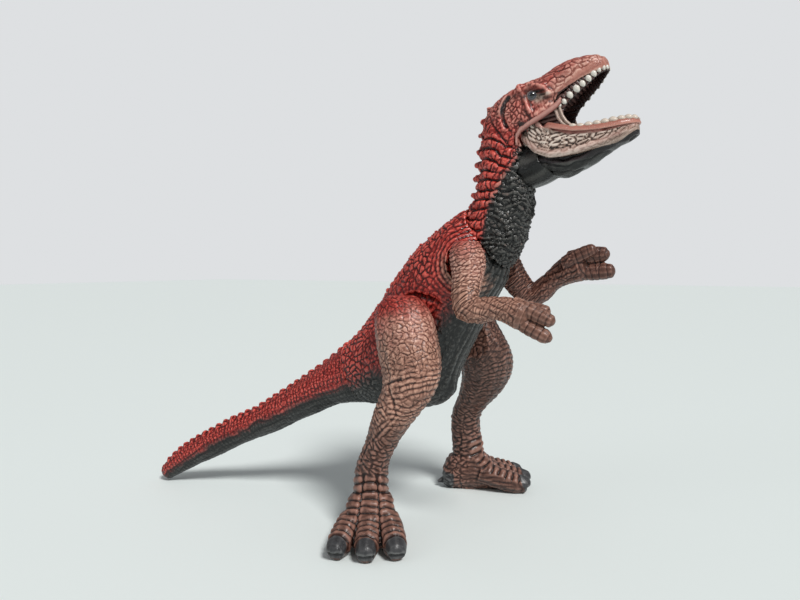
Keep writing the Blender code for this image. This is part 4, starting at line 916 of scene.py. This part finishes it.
def dress_arm(label):
    skin = Skin(f"arm_skin_{label}", f"arm_{label}", 0.46, 9)
    points = skin.points
    path = ARM_PATHS[label]
    _, along = to_path(points, path)
    if label == "left":
        raised = step(along, 42, 64)
        points[:, 2] += raised * (4.6 + 0.2 * (points[:, 2] - np.interp(points[:, 0], (119, 156), (161, 176))))
        points[:, 0] += raised * 4.5
        skin.refresh()
    warp = drift(points, 8.0, 61)
    wander = wandering(points, 6.0, 62)
    fingers = step(along, FINGERS_PLACE[label] - 2, FINGERS_PLACE[label] + 2)
    forearm = step(along, ELBOW_PLACE - 6, ELBOW_PLACE + 4) * (1 - fingers)
    upper = (1 - forearm) * (1 - fingers)
    first, last = np.array(path[4], float), np.array(path[-1], float)
    way = (last - first) / np.linalg.norm(last - first)
    height = (points - first) @ np.cross(way, (0, -1, 0))
    skin.folds(along + warp * 0.9, 4.4, 0.5, fingers, 0.4)
    skin.folds(height + warp * 1.2, 4.0, 0.45, forearm)
    skin.folds(along + warp * 1.6, 3.0, 0.5, upper * 0.8)
    grain = np.column_stack((along / 3.0, points[:, 1] / 3.2, (points[:, 0] - points[:, 2]) / 4.4)) + wander * 0.35
    skin.scales(grain, 0.42, upper + forearm * 0.7, 0.85, 65, 0.18)
    skin.lift += drift(points, 3.5, 66) * 0.08
    red = 0.75 * step(points[:, 2] - points[:, 0] * 0.6 + warp * 3, 118, 148)
    # The left arm is painted in darker tones as painted shade.
    base = TAN if label == "right" else SHADED_TAN
    material = painted_vinyl(f"arm vinyl {label}", base, (("painted_highlight", ROSE), ("brown", UMBER), ("red", RED)), gloss=0.34)
    # The top of the right shoulder is lightened with rose as a painted highlight.
    zones = {"red": red, "painted_highlight": 0.5 * step(points[:, 2], 150, 176) * (label == "right"),
             "brown": 0.5 * step(along, FINGERS_PLACE[label] - 16, FINGERS_PLACE[label] + 8)}
    return skin.finish(grain / 1.2, material, f"arm_{label}", zones, 0.22)


# ---- teeth, eyes and the inside of the mouth ----

# Each tooth's middle on the figure's right, then its width and length.
UPPER_TEETH = ((162.6, -14.6, 292.2, 3.4, 3.6), (161.2, -17.0, 291.6, 3.6, 4.0), (159.2, -19.2, 290.0, 3.8, 4.2),
               (156.8, -20.9, 287.8, 4.2, 4.7), (154.2, -22.4, 285.0, 4.4, 5.0), (151.0, -23.4, 282.2, 4.5, 5.0),
               (147.8, -24.4, 279.4, 4.8, 5.4), (144.2, -25.4, 276.0, 4.8, 5.6), (141.0, -26.2, 272.4, 3.6, 4.2),
               (138.4, -26.8, 270.6, 2.8, 3.4))
LOWER_TEETH = ((179.0, -15.6, 261.2, 4.6, 3.8), (176.2, -18.0, 261.1, 5.4, 4.0), (172.6, -19.8, 260.6, 5.6, 4.2),
               (168.4, -21.4, 259.9, 5.6, 4.2), (164.0, -22.6, 259.1, 5.6, 4.2), (159.6, -23.5, 258.4, 5.6, 4.2),
               (155.0, -24.2, 257.9, 5.5, 4.0), (150.4, -24.9, 257.6, 5.4, 3.8), (146.0, -25.5, 257.8, 5.2, 3.4))


def join(name, bm, material, node, body):
    mesh = bpy.data.meshes.new(name)
    bm.to_mesh(mesh)
    bm.free()
    mesh.polygons.foreach_set("use_smooth", np.ones(len(mesh.polygons), bool))
    mesh.materials.append(material)
    piece = add_object(name, mesh)
    if node:
        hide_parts(node)
    if body:
        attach(piece, body)
    return piece


def build_teeth(name, places, heading, thickness, enamel, node, body):
    """Rounded teeth along both sides of a jaw, white outside and brown on the side facing the mouth's middle."""
    bm = bmesh.new()
    lean = Vector((math.sin(heading), 0, -math.cos(heading)))
    for number, (x, y, z, width, length) in enumerate(places):
        size = 0.87 + 0.05 * math.sin(number * 2.4)
        for side in (1, -1):
            centre = Vector((x, y if side > 0 else 2 * MIDDLE - y, z)) * MM
            turn = lean.to_track_quat("Z", "Y").to_matrix().to_4x4()
            shape = Matrix.Diagonal((width * size * thickness * MM, width * size * 0.46 * MM,
                                     length * size * 0.50 * MM, 1))
            made = bmesh.ops.create_uvsphere(bm, u_segments=20, v_segments=14, radius=1.0,
                                             matrix=Matrix.Translation(centre) @ turn @ shape)
            for vert in made["verts"]:
                gap = (vert.co - centre).dot(lean)
                vert.co -= (vert.co - centre - lean * gap) * max(gap, 0) / (length * MM) * 0.5
    piece = join(name, bm, tooth_enamel(name + " enamel", *enamel), node, body)
    places = vectors(piece.data.vertices, "co") / MM
    normals = vectors(piece.data.vertex_normals, "vector")
    outward = normals[:, 1] * np.sign(places[:, 1] - MIDDLE) + normals[:, 0] * 0.5
    keep(piece.data, "outside", step(outward, -0.45, -0.1))
    return piece


def tooth_enamel(name, low, high):
    paint = Paint(name)
    place = paint.add("ShaderNodeTexCoord").outputs["Object"]
    mottle = paint.noise(place, 420.0, 3.0)
    white = paint.mix(mottle, low, high)
    color = paint.mix(paint.attribute("outside"), seen(74, 50, 46), white)
    paint.put(paint.shader.inputs["Base Color"], color)
    paint.put(paint.shader.inputs["Roughness"], paint.total(0.18, (mottle, 0.12)))
    paint.bump(paint.noise(place, 700.0, 2.0), 0.08, 0.2)
    return paint.material


def build_eye(name, node, side):
    """A glossy eye with a dark pupil in a grey-blue iris."""
    centre = Vector((EYE_PLACE[0], EYE_PLACE[1] if side > 0 else 2 * MIDDLE - EYE_PLACE[1], EYE_PLACE[2])) * MM
    bm = bmesh.new()
    bmesh.ops.create_uvsphere(bm, u_segments=40, v_segments=24, radius=EYE_RADIUS * MM,
                              matrix=Matrix.Translation(centre) @ Matrix.Rotation(math.pi / 2, 4, "X"))
    piece = join(name, bm, eye_gloss(name + " gloss"), node, "head")
    gaze = Vector((0.35, -side * 0.93, -0.05)).normalized()
    rings = [((vert.co - centre).normalized() - gaze).length for vert in piece.data.vertices]
    keep(piece.data, "iris", rings)


def eye_gloss(name):
    paint = Paint(name)
    ring = paint.attribute("iris")
    place = paint.add("ShaderNodeTexCoord").outputs["Object"]
    streaks = paint.noise(place, 1400.0, 3.0)
    iris = paint.mix(streaks, seen(26, 30, 38), seen(74, 80, 92))
    color = paint.mix(paint.ramp(ring, 0.40, 0.50), seen(6, 6, 8), iris)
    color = paint.mix(paint.ramp(ring, 0.66, 0.86), color, seen(150, 142, 136))
    paint.put(paint.shader.inputs["Base Color"], color)
    paint.put(paint.shader.inputs["Roughness"], paint.total(0.05, (streaks, 0.05)))
    paint.shader.inputs["Coat Weight"].default_value = 1.0
    paint.shader.inputs["Coat Roughness"].default_value = 0.03
    paint.bump(streaks, 0.05, 0.1)
    return paint.material


# The front and the rear edge of the fold of skin at the mouth's corner, from the upper to the lower lip.
FOLD_FRONT = ((138.0, -26.6, 272.6), (138.9, -27.0, 268.6), (140.5, -27.0, 264.3), (142.7, -26.8, 260.9),
              (146.6, -26.4, 257.4))
FOLD_REAR = ((134.6, -27.0, 271.0), (135.8, -27.2, 267.2), (137.2, -27.2, 263.2), (139.6, -27.0, 260.1),
             (143.0, -26.6, 257.2))
# The edge of the upper lip from behind the jaw to the first tooth.
CHEEK_LIP = ((112.6, -28.2, 250.0), (112.8, -28.8, 254.4), (115.2, -29.2, 257.8), (120.9, -29.6, 261.2),
             (128.2, -29.6, 264.6),
             (134, -28.8, 268.2), (137.1, -28.0, 270.6), (139.4, -27.2, 273.4))
# The dark wall inside each cheek, from the upper to the lower lip.
CHEEK_FRONT = ((146.6, -24.6, 279.0), (142.6, -25.2, 272.0), (140.2, -25.4, 267.0), (140.4, -25.4, 262.0),
               (143.6, -25.2, 257.0))
CHEEK_REAR = ((128, -25.0, 277.0), (124, -25.0, 270.0), (122, -25.0, 264.0), (122, -25.0, 259.0), (126, -25.0, 254.0))
# The rear and the front edge of the fold of skin between the neck and the jaw's underside.
THROAT_REAR = ((113, MIDDLE - 9.5, 248), (112.5, MIDDLE - 14, 233), (115.2, MIDDLE - 9, 226.5),
               (116.2, MIDDLE, 224), (115.2, MIDDLE + 9, 226.5),
               (112.5, MIDDLE + 14, 233), (113, MIDDLE + 9.5, 248))
THROAT_FRONT = ((123, MIDDLE - 9.5, 249), (126, MIDDLE - 15, 238.5), (131.5, MIDDLE - 10, 233), (134, MIDDLE, 231),
                (131.5, MIDDLE + 10, 233),
                (126, MIDDLE + 15, 238.5), (123, MIDDLE + 9.5, 249))
# The top of the lower lip on the right, from the cheek to the chin.
JAW_LIP = ((128.8, -25.2, 260.8), (130.6, -27.0, 261.2), (133.0, -27.7, 260.8), (136.7, -27.6, 259.9),
           (145.4, -26.9, 258.2),
           (153.7, -26.0, 257.8), (162, -24.8, 258.1), (168, -23.4, 258.9), (173, -21.6, 259.9),
           (177.5, -18.8, 260.8),
           (180.4, -15.6, 261.3), (181.4, MIDDLE, 261.5))


def dress_mouth():
    """The ribbed roof and the floor of the mouth, and the folds at its corners."""
    skin = Skin("ribbed_palate", "palate", 0.5, 6)
    points = skin.points
    slope = points[:, 0] * 0.80 + points[:, 2] * 0.60
    across = points[:, 1] - MIDDLE
    down = step(-skin.normals[:, 2], 0.0, 0.4)
    skin.folds(slope + np.abs(across) * 0.35, 2.6, 0.9, down, 0.5)
    skin.lift += 0.8 * np.exp(-(across / 1.2) ** 2) * down
    grain = np.column_stack((slope, across, points[:, 2])) / 2.4
    flesh = painted_vinyl("mouth vinyl", FLESH, (), gloss=0.30)
    skin.finish(grain, flesh, "head", {}, 0.22)

    skin = Skin("tongue", "mouth_floor", 0.5, 6)
    points = skin.points
    across = points[:, 1] - MIDDLE
    top = step(skin.normals[:, 2], 0.2, 0.6)
    skin.lift += top * (0.9 * np.exp(-(across / 4.0) ** 2) - 0.9 * np.exp(-(across / 0.8) ** 2))
    skin.folds(points[:, 0] + np.abs(across) * 0.5, 2.4, 0.35, top)
    grain = np.column_stack((points[:, 0], across, points[:, 2])) / 2.2
    tongue = painted_vinyl("tongue vinyl", FLESH, (), gloss=0.30)
    skin.finish(grain, tongue, "jaw", {}, 0.22)

    cream = painted_vinyl("mouth corner vinyl", CREAM, (), fine_share=0.2, contrast=0.2)
    pink = painted_vinyl("lip vinyl", ROSE, (), fine_share=0.3, contrast=0.3)
    cheek_lip = painted_vinyl("cheek lip vinyl", PINK, (("red", RED),), fine_share=0.3, contrast=-0.35)
    gum = painted_vinyl("gum vinyl", FLESH, (), gloss=0.28, fine_share=0.2)
    gum_rows = {"upper": [(x, y + 0.9, z) for x, y, z, _, _ in UPPER_TEETH] + [(135, -25.8, 268.4)],
                "lower": [(x, y + 0.9, z) for x, y, z, _, _ in LOWER_TEETH]}
    for number, label in ((0, "right"), (1, "left")):
        inward = 1 - 2 * number
        edges = [mirrored(path)[number] for path in (FOLD_FRONT, FOLD_REAR)]
        fold = sheet(f"mouth_corner_{label}", *edges, (0, 1.4 * inward, 0), 0, cream, None, "jaw_vinyl")
        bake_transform(fold)
        lip = mirrored(JAW_LIP)[number]
        sheet(f"lower_lip_{label}", beside(lip, 0.2, -3.4), beside(lip, -2.0, -0.7), (0, -0.7 * inward, 0.6), 0, pink,
              "jaw", "jaw_vinyl", 1.8)
        edges = [[(x, y, z + up) for x, y, z in mirrored(CHEEK_LIP)[number]] for up in (1.4, -1.4)]
        sheet(f"cheek_lip_{label}", *edges, (0, -1.1 * inward, 0), 0, cheek_lip, "head", "red_vinyl", 1.4)
        edges = [mirrored(path)[number] for path in (CHEEK_FRONT, CHEEK_REAR)]
        sheet(f"cheek_wall_{label}", *edges, (0, 0.8 * inward, 0), 7, gum, "head", "mouth_vinyl")
        for name, up, down, body in (("upper", (-2.4, 0, 3.2), (0.9, 0, -1.4), "head"),
                                     ("lower", (0, 0, 0.6), (0, 0, -3.6), "jaw")):
            edges = [[tuple(np.add(place, move)) for place in mirrored(gum_rows[name])[number]]
                     for move in (up, down)]
            sheet(f"{name}_gum_{label}", *edges, (0, 0.5 * inward, 0), 22, gum, body, "mouth_vinyl")
    dark = painted_vinyl("throat vinyl", DARK, ())
    throat = sheet("throat_fold", THROAT_REAR, THROAT_FRONT, (0.8, 0, -0.8), 5, dark, None, "jaw_vinyl", 1.6)
    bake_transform(throat)
    edges = [[tuple(np.add(place, (-2.0, 0, 2.6))) for place in side] for side in mirrored(gum_rows["upper"])]
    sheet("mouth_roof", *edges, (-1.6, 0, 2.2), 16, gum, "head", "mouth_vinyl")


def beside(path, outward, up):
    """A path moved away from the mouth's middle and up."""
    path = np.array(path, float)
    way = np.gradient(path[:, :2], axis=0)
    normal = np.column_stack((way[:, 1], -way[:, 0])) / np.linalg.norm(way, axis=1)[:, None]
    away = path[:, :2] - (150, MIDDLE)
    normal *= np.sign(np.sum(normal * away, axis=1))[:, None]
    normal[-1] = (1, 0)
    return np.column_stack((path[:, :2] + normal * outward, path[:, 2] + up))


def sheet(name, first, second, hollow, ribs, material, body, slot, thickness=1.2):
    """A thick sheet between two edges, hollowed by a move of its middle, with ribs from edge to edge."""
    rows, columns = 81, 11
    bm = bmesh.new()
    bmesh.ops.create_grid(bm, x_segments=columns - 1, y_segments=rows - 1, size=1.0)
    first, second, hollow = np.array(first, float), np.array(second, float), np.array(hollow, float)
    knots = np.linspace(-1, 1, len(first))
    depth = []
    for vert in bm.verts:
        u, v = vert.co.x, vert.co.y
        start = np.array([np.interp(v, knots, first[:, k]) for k in range(3)])
        end = np.array([np.interp(v, knots, second[:, k]) for k in range(3)])
        rib = math.cos(math.pi * ribs * v) if ribs else 2 * u * u - 1
        depth.append(0.55 * rib)
        place = start + (end - start) * (u + 1) / 2 + hollow * (1 - u * u)
        if ribs:
            place -= hollow / np.linalg.norm(hollow) * 0.45 * rib
        vert.co = Vector(place) * MM
    piece = join(name, bm, material, None, body)
    places = np.array([vert.co for vert in piece.data.vertices]) / MM
    for key, values in (("grain", places / 3.0), ("depth", depth), ("shade", np.full(len(depth), 0.5))):
        keep(piece.data, key, values)
    thick = piece.modifiers.new("thickness", "SOLIDIFY")
    thick.thickness = thickness * MM
    thick.offset = 0.0
    return piece


def dress_hidden_parts():
    """The stems and pins, which show only in the joints."""
    hard = moulded_plastic("dark plastic", seen(62, 62, 62), 0.42)
    for name, piece in frame["nodes"].items():
        if "bush" in name or name == "jaw_pin":
            piece.data.materials.clear()
            piece.data.materials.append(hard)


# ---- floor, light and camera ----

def build_floor():
    bm = bmesh.new()
    bmesh.ops.create_grid(bm, x_segments=1, y_segments=1, size=6.0)
    mesh = bpy.data.meshes.new("floor")
    bm.to_mesh(mesh)
    bm.free()
    floor = add_object("floor", mesh)
    paint = Paint("pale floor")
    paint.shader.inputs["Base Color"].default_value = seen(230, 238, 237)
    paint.shader.inputs["Roughness"].default_value = 0.6
    mesh.materials.append(paint.material)


def sun(name, way, spread, strength, color):
    light = bpy.data.lights.new(name, "SUN")
    light.angle = math.radians(spread)
    light.energy = strength
    light.color = color
    add_object(name, light).rotation_euler = Vector(way).to_track_quat("-Z", "Y").to_euler()


def build_light():
    sun("key", (-0.80, 0.52, -1.0), 14, 2.9, (1.0, 0.985, 0.965))
    sun("fill", (0.45, 0.85, -0.5), 30, 0.20, (0.98, 0.99, 1.0))
    world = bpy.data.worlds.new("studio")
    bpy.context.scene.world = world
    world.use_nodes = True
    nodes = world.node_tree.nodes
    links = world.node_tree.links
    back = nodes["Background"]
    back.inputs["Color"].default_value = (0.96, 0.98, 1.0, 1)
    path = nodes.new("ShaderNodeLightPath")
    strength = nodes.new("ShaderNodeMapRange")
    strength.inputs["To Min"].default_value = 0.28
    strength.inputs["To Max"].default_value = 0.76
    links.new(path.outputs["Is Camera Ray"], strength.inputs["Value"])
    links.new(strength.outputs[0], back.inputs["Strength"])


def build_camera():
    camera = bpy.data.cameras.new("photo view")
    camera.lens = CAMERA_LENS
    camera.sensor_width = 36.0
    thing = add_object("photo view", camera)
    thing.location = CAMERA_PLACE
    thing.rotation_euler = (math.radians(90 - CAMERA_TILT), 0, math.radians(CAMERA_HEADING))
    bpy.context.scene.camera = thing


def build_all():
    dress_head()
    dress_jaw()
    dress_torso()
    dress_tail()
    for label in ("right", "left"):
        dress_leg(label)
        dress_arm(label)
    build_teeth("upper_tooth_row", UPPER_TEETH, math.radians(36), 0.40, (seen(200, 193, 182), seen(228, 225, 217)),
                "upper_teeth", "head")
    build_teeth("lower_tooth_row", LOWER_TEETH, math.radians(180), 0.56, (seen(186, 168, 154), seen(222, 210, 196)),
                "lower_teeth", "jaw")
    build_eye("right_eye", "eye_right", 1)
    build_eye("left_eye", "eye_left", -1)
    dress_mouth()
    dress_hidden_parts()
    build_floor()
    build_light()
    build_camera()
    bpy.context.scene.view_settings.view_transform = "Standard"


build_all()
bpy.context.view_layer.update()
